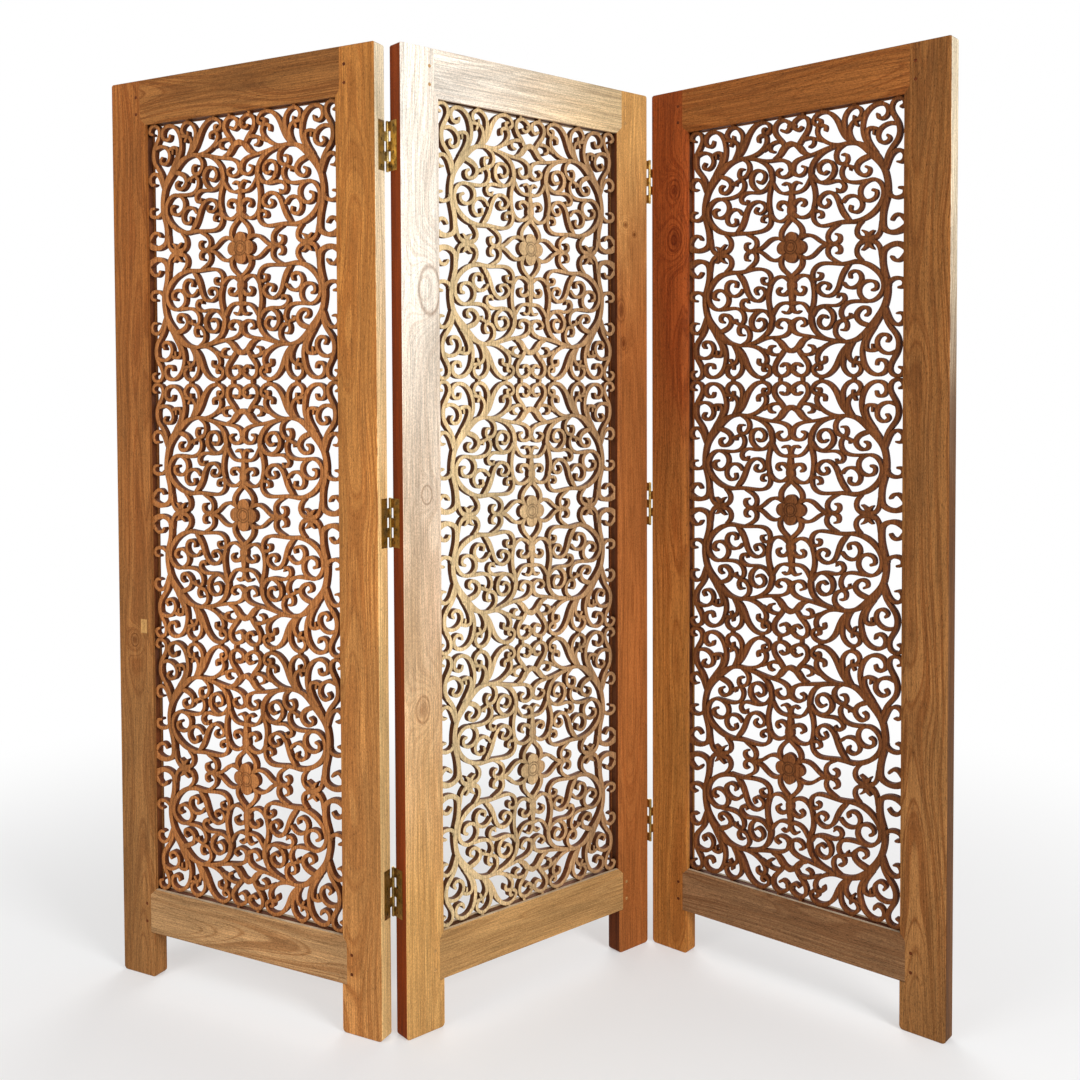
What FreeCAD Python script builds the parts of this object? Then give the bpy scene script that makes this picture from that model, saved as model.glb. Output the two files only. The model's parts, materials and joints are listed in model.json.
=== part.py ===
import FreeCAD, Part
import math
import os
import re
import Sketcher

# A three-panel folding screen of teak. Each panel is a pegged frame of two stiles and two rails,
# grooved for three pierced boards of carved scrollwork, and brass butt hinges join the panels.
# The panels stand upright. A panel's own frame has X along the panel, Y from its front face to its
# back face and Z up, with its origin at the lower front left corner. Lengths are in millimetres.

os.makedirs("parts", exist_ok=True)
doc = FreeCAD.newDocument("carved_jali_screen")
V = FreeCAD.Vector
Placement = FreeCAD.Placement
Rotation = FreeCAD.Rotation

SIZES = {
    # One panel's frame
    "panel_height": 1800,
    "panel_width": 629,
    "panel_thickness": 33,
    "stile_width": 86.5,
    "top_rail_height": 88,
    "bottom_rail_height": 89,
    "foot_height": 90,
    "shoulder_step": 11,
    "bevel_width": 10,
    "bevel_depth": 3,
    "foot_radius": 8,
    "top_radius": 5,
    "arris_radius": 2.5,
    # Mortise and tenon, pinned by pegs right through the frame
    "tenon_length": 48,
    "tenon_thickness": 11,
    "tenon_shoulder": 12,
    "mortise_gap": 0.5,
    "peg_radius": 3.2,
    "peg_clearance": 0.05,
    "peg_inset": 65,
    "top_peg_outer_rise": 33,
    "top_peg_inner_rise": 22,
    "bottom_peg_outer_rise": 22,
    "bottom_peg_inner_rise": 31,
    # Carved boards and the rim that hides in the frame's groove
    "board_thickness": 14,
    "groove_depth": 8,
    "groove_gap": 0.5,
    "rim_inset": 1,
    "flower_ring_radius": 17.5,
    "flower_heart_radius": 14,
    "petal_radius": 13.5,
    # Butt hinges
    "hinge_length": 89.5,
    "hinge_top_drop": 180,
    "hinge_low_rise": 265,
    "hinge_recess": 1.1,
    "leaf_thickness": 1.8,
    "leaf_reach": 22,
    "barrel_radius": 2.8,
    "barrel_overhang": 5.3,
    "notch_depth": 3,
    "knuckle_gap": 0.3,
    "pin_radius": 1.3,
    "pin_clearance": 0.05,
    "pin_head_radius": 2.2,
    "pin_head_thickness": 0.9,
    # Wood screws
    "screw_length": 18,
    "screw_radius": 1.5,
    "screw_head_radius": 2.8,
    "screw_head_depth": 1.3,
    "screw_point_length": 5,
    "screw_slot_width": 0.8,
    "screw_slot_depth": 0.6,
    "screw_clearance": 0.05,
    "screw_near": 6,
    "screw_far": 12,
    # How the three panels stand, as the turn of each about Z, in degrees
    "left_yaw": -27.7,
    "centre_yaw": 39.0,
    "right_yaw": -41.5,
}

BOARD_NAMES = ("lower", "middle", "upper")
KNUCKLE_COUNT = 5
PETAL_COUNT = 4
CENTRE_KNUCKLES = (0, 2, 4)
OUTER_KNUCKLES = (1, 3)

# Heights of a leaf's four screws, as shares of the hinge's length
SCREW_SHARES = (0.1, 0.375, 0.625, 0.9)

# Lengths that follow from the sizes above
OPENING_LOW = "(foot_height + bottom_rail_height)"
OPENING_HIGH = "(panel_height - top_rail_height)"
GROOVE_FRONT = "((panel_thickness - board_thickness) / 2)"
TENON_FRONT = "((panel_thickness - tenon_thickness) / 2)"
SHOULDER = "(stile_width - shoulder_step)"
TENON_END = "(stile_width - shoulder_step - tenon_length)"
RIM_REACH = "(groove_depth - groove_gap)"
PIN_GAP = "(barrel_radius - hinge_recess)"
LEAF_INNER = "(barrel_radius - leaf_thickness)"
NOTCH_REACH = "(barrel_overhang + notch_depth)"
SCREW_SINK = "(screw_length - leaf_thickness + hinge_recess)"
HALF_OPENING = "((panel_width - 2 * stile_width) / 2)"
HALF_BOARD = f"(({OPENING_HIGH} - {OPENING_LOW}) / 2 / {len(BOARD_NAMES)})"
KNUCKLE_PITCH = f"(hinge_length / {KNUCKLE_COUNT})"
HINGE_CENTRES = {
    "upper": "(panel_height - hinge_top_drop)",
    "middle": "((panel_height - hinge_top_drop + hinge_low_rise) / 2)",
    "lower": "hinge_low_rise",
}

# One quarter of a carved board's pattern, drawn by hand. Each stroke of the scroll is a line of
# points with its width: how far a point lies across from the flower, as a share of half the
# opening's width, how far up, as a share of half the board's height, and the stroke's width there,
# as a share of half the opening's width.
SCROLL_SHARES = {
    "side_loop": [(.072, .055, .034), (.110, .078, .034), (.152, .084, .034), (.200, .071, .034),
        (.240, .044, .034), (.278, .018, .034), (.335, .000, .040)],
    "top_loop": [(.072, .055, .040), (.095, .082, .040), (.101, .117, .040), (.086, .151, .038),
        (.057, .181, .036), (.026, .206, .036), (.000, .230, .046)],
    "stem": [(.000, .220, .050), (.000, .280, .090), (.000, .330, .070), (.000, .390, .046),
        (.000, .440, .046)],
    "anchor": [(.010, .255, .050), (.060, .225, .034), (.120, .215, .032), (.175, .240, .034),
        (.205, .285, .038)],
    "anchor_curl": [(.015, .320, .050), (.042, .343, .036), (.083, .355, .034), (.117, .343, .032),
        (.124, .318, .030), (.105, .303, .028)],
    "palmette": [(.000, .420, .046), (.060, .415, .030), (.110, .430, .030), (.145, .462, .032),
        (.175, .510, .030)],
    "palmette_tip": [(.000, .435, .040), (.015, .475, .034), (.045, .493, .026), (.075, .482, .022)],
    "heart_low": [(.000, .575, .060), (.030, .550, .034), (.075, .538, .032), (.120, .555, .030),
        (.132, .585, .028), (.102, .602, .026)],
    "heart_high": [(.000, .575, .060), (.020, .630, .038), (.070, .662, .034), (.140, .676, .032),
        (.240, .688, .034), (.340, .708, .034), (.440, .725, .030)],
    "inner_band": [(.430, .715, .020), (.330, .698, .030), (.255, .668, .040), (.205, .620, .046),
        (.183, .560, .050), (.185, .500, .046), (.205, .440, .040), (.215, .380, .038), (.212, .320, .040),
        (.200, .280, .040)],
    "cup": [(.210, .275, .034), (.195, .230, .034), (.205, .185, .034), (.245, .152, .034),
        (.320, .142, .034), (.410, .148, .034), (.500, .150, .040), (.580, .142, .040)],
    "cup_curl": [(.205, .255, .030), (.242, .260, .030), (.272, .244, .030), (.274, .218, .028),
        (.252, .210, .022)],
    "ring": [(.500, .150, .030), (.600, .150, .040), (.680, .172, .046), (.750, .215, .046),
        (.800, .275, .042), (.815, .340, .040), (.790, .400, .038), (.730, .438, .034), (.660, .430, .034),
        (.615, .390, .036), (.615, .335, .036), (.655, .297, .034), (.710, .290, .032), (.752, .315, .032),
        (.750, .350, .032), (.725, .360, .030)],
    "ring_curl": [(.470, .295, .030), (.500, .325, .030), (.560, .338, .032), (.610, .315, .034),
        (.630, .270, .034), (.610, .228, .032), (.565, .215, .032), (.530, .235, .030), (.535, .260, .028)],
    "leaf_s": [(.530, .150, .030), (.485, .195, .050), (.450, .250, .046), (.425, .310, .042),
        (.390, .360, .038), (.330, .385, .034), (.270, .365, .034), (.245, .325, .034), (.270, .292, .030),
        (.312, .284, .030), (.342, .305, .030), (.328, .332, .026)],
    "bar": [(.210, .485, .030), (.270, .460, .030), (.340, .455, .030), (.405, .460, .032),
        (.455, .445, .034), (.480, .410, .034), (.460, .378, .034), (.420, .375, .030)],
    "bar_spike": [(.430, .372, .030), (.415, .398, .016)],
    "coil": [(.195, .520, .040), (.225, .485, .034), (.290, .462, .030), (.350, .485, .038),
        (.385, .535, .044), (.378, .585, .038), (.335, .618, .032), (.280, .612, .032), (.250, .575, .032),
        (.265, .538, .032), (.300, .526, .030), (.325, .540, .026)],
    "hook": [(.470, .720, .030), (.420, .692, .034), (.400, .650, .036), (.412, .608, .036),
        (.450, .580, .034), (.490, .582, .034), (.505, .620, .032), (.488, .645, .028), (.460, .645, .020)],
    "under_hook": [(.485, .575, .030), (.455, .540, .034), (.455, .495, .034), (.485, .455, .034),
        (.540, .436, .034), (.610, .434, .034), (.670, .438, .036)],
    "link": [(.480, .572, .030), (.520, .555, .030), (.560, .540, .036)],
    "link_spike": [(.525, .555, .020), (.530, .525, .016)],
    "eye": [(.720, .620, .040), (.650, .602, .048), (.600, .575, .042), (.580, .535, .040),
        (.605, .495, .036), (.650, .478, .034), (.688, .495, .032), (.688, .525, .030), (.665, .538, .026)],
    "main": [(.845, .300, .050), (.850, .370, .048), (.840, .440, .050), (.820, .500, .054),
        (.780, .560, .066), (.725, .620, .082), (.660, .675, .066), (.590, .712, .044), (.510, .728, .038),
        (.430, .725, .034), (.340, .742, .036), (.280, .775, .036), (.242, .815, .036), (.235, .855, .036),
        (.250, .885, .040)],
    "leaf_curl": [(.530, .730, .030), (.480, .785, .050), (.445, .845, .052), (.415, .900, .046),
        (.370, .950, .040), (.310, .980, .036), (.250, .978, .034), (.208, .950, .034), (.200, .915, .032),
        (.230, .890, .034)],
    "leaf_right": [(.240, .880, .036), (.285, .882, .034), (.312, .868, .034), (.312, .842, .030)],
    "leaf_up": [(.245, .885, .036), (.265, .905, .034), (.262, .925, .034), (.242, .930, .026)],
    "leaf_tie": [(.275, .985, .034), (.275, 1.010, .034)],
    "diamond": [(.000, .785, .050), (.040, .772, .050), (.080, .740, .060), (.110, .708, .050),
        (.160, .690, .030)],
    "crown": [(.060, .770, .040), (.100, .820, .042), (.142, .865, .042), (.160, .910, .040),
        (.142, .955, .036), (.095, .975, .034), (.045, .962, .034), (.015, .930, .040), (.025, .900, .036),
        (.060, .882, .030), (.092, .898, .028)],
    "crown_tie": [(.105, .975, .030), (.105, 1.010, .030)],
    "crown_seat": [(.000, .920, .050), (.020, .920, .050)],
    "lobe": [(.100, .810, .034), (.155, .812, .032), (.210, .795, .032), (.270, .770, .034)],
    "lobe_curl": [(.175, .810, .030), (.205, .782, .032), (.195, .755, .030), (.165, .745, .024)],
    "bud": [(.550, .730, .030), (.495, .790, .050), (.472, .850, .046), (.472, .910, .036),
        (.505, .960, .034), (.555, .982, .034), (.610, .962, .034), (.625, .920, .032), (.600, .890, .030)],
    "bud_tie": [(.565, .985, .034), (.565, 1.010, .034)],
    "bud_stem": [(.560, .730, .030), (.520, .780, .044), (.515, .830, .034), (.545, .870, .034),
        (.590, .882, .034), (.635, .885, .030)],
    "bud_up": [(.560, .875, .034), (.560, .910, .024)],
    "bud_down": [(.565, .875, .034), (.585, .842, .026)],
    "corner": [(.710, .660, .030), (.660, .720, .038), (.635, .790, .038), (.640, .860, .040),
        (.670, .925, .040), (.720, .965, .036), (.785, .975, .036), (.835, .950, .038), (.845, .900, .036),
        (.810, .868, .034), (.770, .875, .032), (.760, .900, .026)],
    "drop_left": [(.750, .630, .030), (.695, .700, .036), (.672, .760, .034), (.680, .795, .034),
        (.720, .805, .032), (.770, .790, .034)],
    "drop_spike": [(.730, .798, .026), (.728, .760, .020)],
    "drop_coil": [(.930, .805, .036), (.880, .822, .034), (.820, .815, .034), (.775, .780, .034),
        (.765, .730, .034), (.795, .692, .034), (.840, .688, .032), (.865, .712, .030), (.850, .735, .028)],
    "drop_right": [(.830, .520, .040), (.845, .585, .040), (.885, .645, .042), (.930, .700, .044),
        (.945, .760, .044), (.930, .820, .044), (.895, .875, .042), (.875, .925, .038), (.888, .968, .036),
        (.930, .988, .034), (.975, .975, .034), (.985, .940, .036), (.955, .925, .026)],
    "corner_tie": [(.930, .985, .034), (.930, 1.010, .034)],
    "low_right": [(.855, .330, .048), (.830, .260, .050), (.810, .190, .052), (.805, .130, .052),
        (.815, .080, .050), (.860, .050, .044), (.920, .042, .048), (.980, .060, .060),
        (1.020, .090, .060)],
    "low_curl": [(1.020, .100, .050), (.985, .135, .040), (.950, .162, .034), (.910, .160, .032),
        (.885, .135, .030)],
    "side_curl": [(.850, .325, .040), (.890, .295, .034), (.940, .288, .036), (.987, .310, .038),
        (.982, .345, .034), (.945, .355, .026)],
    "side_curl_high": [(.835, .490, .030), (.855, .545, .036), (.885, .595, .034), (.930, .620, .034),
        (.975, .605, .038), (.988, .565, .038), (.960, .535, .030), (.930, .538, .020)],
    "knot_left": [(.630, .140, .030), (.595, .105, .034), (.585, .065, .034), (.610, .025, .036),
        (.660, .008, .050), (.720, .008, .050), (.765, .035, .036), (.785, .075, .034), (.795, .130, .040)],
    "horn_left": [(.690, .020, .060), (.670, .050, .030), (.640, .070, .016)],
    "horn_right": [(.690, .020, .060), (.710, .050, .030), (.730, .066, .016)],
    "three": [(.430, .140, .030), (.375, .115, .034), (.335, .080, .034), (.330, .040, .034),
        (.360, .005, .040), (.405, .005, .034), (.438, .032, .034), (.432, .062, .030), (.408, .070, .022)],
}

HALF_TURN = 180

# How far apart two equal numbers may come out, from rounding
ROUNDING = 1e-4

# Which edges carry hinges: the face that the barrel stands at, and whether the leaf is upright
HINGED_EDGES = {
    ("left", "right"): ("back", True),
    ("centre", "left"): ("back", False),
    ("centre", "right"): ("front", False),
    ("right", "left"): ("front", True),
}
LEAF_TURNS = {
    ("left", "back"): V(1, 0, 0),
    ("right", "back"): V(0, 0, 1),
    ("right", "front"): V(0, 1, 0),
    ("left", "front"): V(),
}


# The sheet and what reads it

sheet = doc.addObject("Spreadsheet::Sheet", "Sizes")
for row, (alias, number) in enumerate(SIZES.items(), start=1):
    sheet.set(f"A{row}", alias)
    sheet.set(f"B{row}", str(number))
    sheet.setAlias(f"B{row}", alias)
doc.recompute()


def formula(text):
    """Write a length in the sizes' names as the document's expression for it."""
    return re.sub(r"[a-z_]+", lambda word: "Sizes." + word.group(), text)


def value(text):
    """The number that a length in the sizes' names comes to."""
    return float(sheet.evalExpression(formula(text)))


def tie(item, **lengths):
    """Bind an object's properties to lengths written in the sizes' names."""
    for name, text in lengths.items():
        item.setExpression(name, formula(text))


def tie_place(item, x, y, z):
    for axis, text in (("x", x), ("y", y), ("z", z)):
        item.setExpression(f"Placement.Base.{axis}", formula(text))


# Directions for a cylinder or cone, whose own axis is Z

ALONG_X = Rotation(V(0, 1, 0), 90)
ALONG_Y = Rotation(V(1, 0, 0), -90)
ALONG_Z = Rotation()


def new_body(label):
    made = doc.addObject("PartDesign::Body", label)
    made.Label = label
    return made


def box(body, kind, x, y, z, size_x, size_y, size_z):
    """Add or cut a box, with its lowest corner at x, y, z."""
    item = body.newObject(f"PartDesign::{kind}Box", f"{kind}Box")
    tie(item, Length=size_x, Width=size_y, Height=size_z)
    tie_place(item, x, y, z)
    return item


def cylinder(body, kind, direction, x, y, z, radius, length):
    """Add or cut a cylinder that starts at x, y, z."""
    item = body.newObject(f"PartDesign::{kind}Cylinder", f"{kind}Cylinder")
    item.Placement = Placement(V(), direction)
    tie(item, Radius=radius, Height=length)
    tie_place(item, x, y, z)
    return item


def cone(body, kind, direction, x, y, z, start_radius, end_radius, length):
    """Add or cut a cone that starts at x, y, z."""
    item = body.newObject(f"PartDesign::{kind}Cone", f"{kind}Cone")
    item.Placement = Placement(V(), direction)
    tie(item, Radius1=start_radius, Radius2=end_radius, Height=length)
    tie_place(item, x, y, z)
    return item


def pad_outline(body, points, depth):
    """Pad a polygon in X and Z from the front face back by a depth."""
    sketch = body.newObject("Sketcher::SketchObject", "Outline")
    plane = next(f for f in body.Origin.OriginFeatures if f.Role == "XZ_Plane")
    sketch.AttachmentSupport = [(plane, "")]
    sketch.MapMode = "FlatFace"
    spots = [V(value(x), value(z), 0) for x, z in points]
    for spot, after in zip(spots, spots[1:] + spots[:1]):
        sketch.addGeometry(Part.LineSegment(spot, after), False)
    last = len(spots) - 1
    for line in range(len(spots)):
        after = 0 if line == last else line + 1
        sketch.addConstraint(Sketcher.Constraint("Coincident", line, 2, after, 1))
    for line, (x, z) in enumerate(points):
        for kind, text, axis in (("DistanceX", x, -2), ("DistanceY", z, -1)):
            if value(text) == 0:
                sketch.addConstraint(Sketcher.Constraint("PointOnObject", line, 1, axis))
                continue
            rule = Sketcher.Constraint(kind, -1, 1, line, 1, value(text))
            index = sketch.addConstraint(rule)
            sketch.setExpression(f"Constraints[{index}]", formula(text))
    pad = body.newObject("PartDesign::Pad", "Pad")
    pad.Profile = sketch
    pad.Reversed = True
    tie(pad, Length=depth)
    doc.recompute()
    return pad


def close(a, b):
    """Whether two numbers are the same but for rounding."""
    return math.isclose(a, b, abs_tol=ROUNDING)


def parallel_edges(shape, axis, test):
    """Names of the straight edges along an axis whose two ends both pass a test."""
    names = []
    for number, edge in enumerate(shape.Edges, start=1):
        ends = [corner.Point for corner in edge.Vertexes]
        if len(ends) == 2 and all(test(end) for end in ends):
            run = (ends[1] - ends[0]).normalize()
            if close(abs(run.dot(axis)), 1):
                names.append(f"Edge{number}")
    return names


def fillet(body, base, names, radius):
    item = body.newObject("PartDesign::Fillet", "Fillet")
    item.Base = (base, names)
    tie(item, Radius=radius)
    doc.recompute()
    return item


# The frame of one panel

def across(side, text):
    """A place measured from the panel's outer edge on one side, as a place along X."""
    return text if side == "left" else f"(panel_width - {text})"


def cut_bevel(body, axis, edge, wood_above, low, run):
    """Cut the shallow slopes beside the opening, front and back, along one edge of it.

    The axis, X or Z, is the one across the edge. The cut runs past the edge, into the opening.
    """
    clear = "bevel_depth"
    if wood_above:
        wide = (f"{edge} - {clear}", f"{edge} + bevel_width")
        narrow = (f"{edge} - {clear}", edge)
    else:
        wide = (f"{edge} - bevel_width", f"{edge} + {clear}")
        narrow = (edge, f"{edge} + {clear}")
    along = "Z" if axis == "X" else "X"
    for front in (True, False):
        item = body.newObject("PartDesign::SubtractiveWedge", "Bevel")
        start = "0" if front else "panel_thickness - bevel_depth"
        first, second = (wide, narrow) if front else (narrow, wide)
        tie(item, **{f"{axis}min": first[0], f"{axis}max": first[1]})
        tie(item, **{f"{axis}2min": second[0], f"{axis}2max": second[1]})
        tie(item, **{f"{along}min": low, f"{along}max": f"{low} + {run}"})
        tie(item, **{f"{along}2min": low, f"{along}2max": f"{low} + {run}"})
        tie(item, Ymin=start, Ymax=f"{start} + bevel_depth")


def peg_heights():
    return (
        "(panel_height - top_peg_outer_rise)",
        f"({OPENING_HIGH} + top_peg_inner_rise)",
        f"({OPENING_LOW} - bottom_peg_inner_rise)",
        "(foot_height + bottom_peg_outer_rise)",
    )


def tenon_spans():
    """Lowest height and height of the tenons of the top and the bottom rail."""
    return (
        (f"({OPENING_HIGH} + tenon_shoulder)", "(top_rail_height - 2 * tenon_shoulder)"),
        ("(foot_height + tenon_shoulder)", "(bottom_rail_height - 2 * tenon_shoulder)"),
    )


def cut_peg_holes(body, sides, heights):
    for side in sides:
        for height in heights:
            cylinder(body, "Subtractive", ALONG_Y, across(side, "peg_inset"), "0", height,
                     "peg_radius + peg_clearance", "panel_thickness")


def screw_rows(upright):
    """Where a leaf's screws sit: their distance from the barrel's face and height on the hinge."""
    rows = []
    for number, share in enumerate(SCREW_SHARES):
        distance = "screw_near" if number % 2 else "screw_far"
        height = share if upright else 1 - share
        rows.append((distance, f"{height} * hinge_length"))
    return rows


def cut_hinge_seats(body, side, barrel_face, upright):
    """Cut the recesses for three leaves in a stile's edge, and the holes for their screws."""
    front = barrel_face == "front"
    seat_y = "0" if front else "panel_thickness - leaf_reach"
    seat_x = "0" if side == "left" else "panel_width - hinge_recess"
    hole_x = "0" if side == "left" else f"panel_width - {SCREW_SINK}"
    for centre in HINGE_CENTRES.values():
        foot = f"({centre} - hinge_length / 2)"
        box(body, "Subtractive", seat_x, seat_y, foot, "hinge_recess", "leaf_reach", "hinge_length")
        for distance, height in screw_rows(upright):
            hole_y = distance if front else f"panel_thickness - {distance}"
            cylinder(body, "Subtractive", ALONG_X, hole_x, hole_y, f"{foot} + {height}",
                     "screw_radius + screw_clearance", SCREW_SINK)


def make_stile(panel, side):
    body = new_body(f"{panel}_panel_{side}_stile")
    inner = across(side, "stile_width")
    shoulder = across(side, SHOULDER)
    outer = across(side, "0")
    points = [
        (outer, "0"),
        (inner, "0"),
        (inner, "foot_height"),
        (shoulder, "foot_height"),
        (shoulder, f"{OPENING_LOW} - shoulder_step"),
        (inner, OPENING_LOW),
        (inner, OPENING_HIGH),
        (shoulder, f"{OPENING_HIGH} + shoulder_step"),
        (shoulder, "panel_height"),
        (outer, "panel_height"),
    ]
    pad = pad_outline(body, points, "panel_thickness")
    edge_x = value(outer)
    top = value("panel_height")
    at_foot = parallel_edges(pad.Shape, V(0, 1, 0), lambda p: close(p.z, 0))
    eased = fillet(body, pad, at_foot, "foot_radius")
    at_top = parallel_edges(eased.Shape, V(0, 1, 0), lambda p: close(p.z, top) and close(p.x, edge_x))
    eased = fillet(body, eased, at_top, "top_radius")
    arrises = parallel_edges(eased.Shape, V(0, 0, 1), lambda p: close(p.x, edge_x))
    fillet(body, eased, arrises, "arris_radius")
    groove_x = "(stile_width - groove_depth)" if side == "left" else "(panel_width - stile_width)"
    box(body, "Subtractive", groove_x, GROOVE_FRONT, f"{OPENING_LOW} - groove_depth",
        "groove_depth", "board_thickness", f"{OPENING_HIGH} - {OPENING_LOW} + 2 * groove_depth")
    mortise_depth = "(tenon_length + mortise_gap)"
    mortise_x = f"({SHOULDER} - {mortise_depth})" if side == "left" else f"(panel_width - {SHOULDER})"
    for low, tall in tenon_spans():
        box(body, "Subtractive", mortise_x, TENON_FRONT, low, mortise_depth, "tenon_thickness", tall)
    edge = "stile_width" if side == "left" else "(panel_width - stile_width)"
    run = f"({OPENING_HIGH} - {OPENING_LOW} + 2 * shoulder_step)"
    cut_bevel(body, "X", edge, side == "right", f"({OPENING_LOW} - shoulder_step)", run)
    cut_peg_holes(body, [side], peg_heights())
    if (panel, side) in HINGED_EDGES:
        cut_hinge_seats(body, side, *HINGED_EDGES[panel, side])
    return body


def make_rail(panel, level):
    body = new_body(f"{panel}_panel_{level}_rail")
    top = level == "top"
    opening = OPENING_HIGH if top else OPENING_LOW
    mitre = f"({OPENING_HIGH} + shoulder_step)" if top else f"({OPENING_LOW} - shoulder_step)"
    outer = "panel_height" if top else "foot_height"
    points = [
        (across("left", "stile_width"), opening),
        (across("right", "stile_width"), opening),
        (across("right", SHOULDER), mitre),
        (across("right", SHOULDER), outer),
        (across("left", SHOULDER), outer),
        (across("left", SHOULDER), mitre),
    ]
    pad = pad_outline(body, points, "panel_thickness")
    height = value(outer)
    arrises = parallel_edges(pad.Shape, V(1, 0, 0), lambda p: close(p.z, height))
    fillet(body, pad, arrises, "arris_radius")
    low, tall = tenon_spans()[0 if top else 1]
    box(body, "Additive", TENON_END, TENON_FRONT, low, "tenon_length", "tenon_thickness", tall)
    box(body, "Additive", across("right", SHOULDER), TENON_FRONT, low,
        "tenon_length", "tenon_thickness", tall)
    groove_z = OPENING_HIGH if top else f"({OPENING_LOW} - groove_depth)"
    box(body, "Subtractive", SHOULDER, GROOVE_FRONT, groove_z,
        f"panel_width - 2 * {SHOULDER}", "board_thickness", "groove_depth")
    run = f"(panel_width - 2 * {SHOULDER})"
    cut_bevel(body, "Z", opening, top, SHOULDER, run)
    heights = peg_heights()[:2] if top else peg_heights()[2:]
    cut_peg_holes(body, ["left", "right"], heights)
    return body


def make_pegs(panel):
    """The eight pegs that pin one panel's joints, each right through the frame."""
    pegs = []
    for side in ("left", "right"):
        for height in peg_heights():
            peg = doc.addObject("Part::Cylinder", "Peg")
            peg.Placement = Placement(V(), ALONG_Y)
            tie(peg, Radius="peg_radius", Height="panel_thickness")
            tie_place(peg, across(side, "peg_inset"), "0", height)
            pegs.append(peg)
    group = doc.addObject("Part::Compound", f"{panel}_panel_pegs")
    group.Label = group.Name
    group.Links = pegs
    return group


# The carved boards

def stroke_face(points, side):
    """The flat face of one stroke: two smooth sides that join in round ends."""
    half_width = value(HALF_OPENING)
    half_height = value(HALF_BOARD)
    line = [V(side * out * half_width, 0, up * half_height) for out, up, wide in points]
    reach = [wide * half_width / 2 for out, up, wide in points]
    if len(line) == 2:
        line.insert(1, (line[0] + line[1]) / 2)
        reach.insert(1, (reach[0] + reach[1]) / 2)
    middle = Part.BSplineCurve()
    middle.interpolate(Points=line)
    stops = [middle.parameter(point) for point in line]
    stops[0] = middle.FirstParameter
    stops[-1] = middle.LastParameter
    places = []
    for here, after, half, half_after in zip(stops, stops[1:], reach, reach[1:]):
        places.append((here, half))
        places.append(((here + after) / 2, (half + half_after) / 2))
    places.append((stops[-1], reach[-1]))
    left = []
    right = []
    for place, half in places:
        heading = middle.tangent(place)[0]
        aside = V(-heading.z, 0, heading.x) * half
        left.append(middle.value(place) + aside)
        right.append(middle.value(place) - aside)
    tail = line[0] - middle.tangent(stops[0])[0] * reach[0]
    tip = line[-1] + middle.tangent(stops[-1])[0] * reach[-1]
    left_side = Part.BSplineCurve()
    left_side.interpolate(Points=left)
    right_side = Part.BSplineCurve()
    right_side.interpolate(Points=right[::-1])
    edges = [
        left_side.toShape(),
        Part.Arc(left[-1], tip, right[-1]).toShape(),
        right_side.toShape(),
        Part.Arc(right[0], tail, left[0]).toShape(),
    ]
    return Part.Face(Part.Wire(edges))


def rectangle(low_x, high_x, low_z, high_z):
    corners = [V(low_x, 0, low_z), V(low_x, 0, high_z), V(high_x, 0, high_z), V(high_x, 0, low_z)]
    return Part.Face(Part.makePolygon(corners + corners[:1]))


def disc(middle, radius):
    return Part.Face(Part.Wire(Part.makeCircle(radius, middle, V(0, 1, 0))))


def flower():
    """The heart and the petals at a board's middle, with the first petal straight up."""
    faces = [disc(V(), value("flower_heart_radius"))]
    ring = value("flower_ring_radius")
    for number in range(PETAL_COUNT):
        turn = math.pi / 2 + 2 * math.pi * number / PETAL_COUNT
        middle = V(ring * math.cos(turn), 0, ring * math.sin(turn))
        faces.append(disc(middle, value("petal_radius")))
    return faces


def half_boards():
    """The upper half of a board as a face, one that another board meets and one with a top rim."""
    strokes = [stroke_face(points, side) for points in SCROLL_SHARES.values() for side in (1, -1)]
    scroll = strokes[0].multiFuse(strokes[1:] + flower()).removeSplitter()
    rim_in = value(HALF_OPENING) + value("rim_inset")
    rim_out = value(HALF_OPENING) + value(RIM_REACH)
    meet = value(HALF_BOARD)
    top_in = meet + value("rim_inset")
    top_out = meet + value(RIM_REACH)
    side_rims = [rectangle(-rim_out, -rim_in, 0, top_out), rectangle(rim_in, rim_out, 0, top_out)]
    top_rim = rectangle(-rim_out, rim_out, top_in, top_out)
    inner = scroll.multiFuse(side_rims).common(rectangle(-rim_out, rim_out, 0, meet))
    outer = scroll.multiFuse(side_rims + [top_rim])
    return inner, outer.common(rectangle(-rim_out, rim_out, 0, top_out))


def one_face(pieces):
    """Join faces that share edges into one face, which keeps only the edges round it."""
    users = {}
    for face in pieces.Faces:
        for edge in face.Edges:
            users.setdefault(edge.hashCode(), []).append(edge)
    edges = []
    for shared in users.values():
        if len(shared) > 1:
            continue
        edge = shared[0]
        if isinstance(edge.Curve, Part.BSplineCurve):
            curve = edge.Curve.copy()
            curve.segment(*sorted(edge.ParameterRange))
            edge = curve.toShape()
        edges.append(edge)
    wires = [Part.Wire(group) for group in Part.sortEdges(edges)]
    wires.sort(key=lambda wire: wire.BoundBox.DiagonalLength, reverse=True)
    face = Part.Face(wires[0])
    face.cutHoles(wires[1:])
    face.validate()
    return face


def board_solids():
    """The end board, which has a rim on top, and the middle board, both about their flower."""
    inner, outer = half_boards()
    lower = inner.copy()
    lower.rotate(V(), V(0, 1, 0), HALF_TURN)
    deep = V(0, value("board_thickness"), 0)
    return one_face(outer.fuse(lower)).extrude(deep), one_face(inner.fuse(lower)).extrude(deep)


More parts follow.
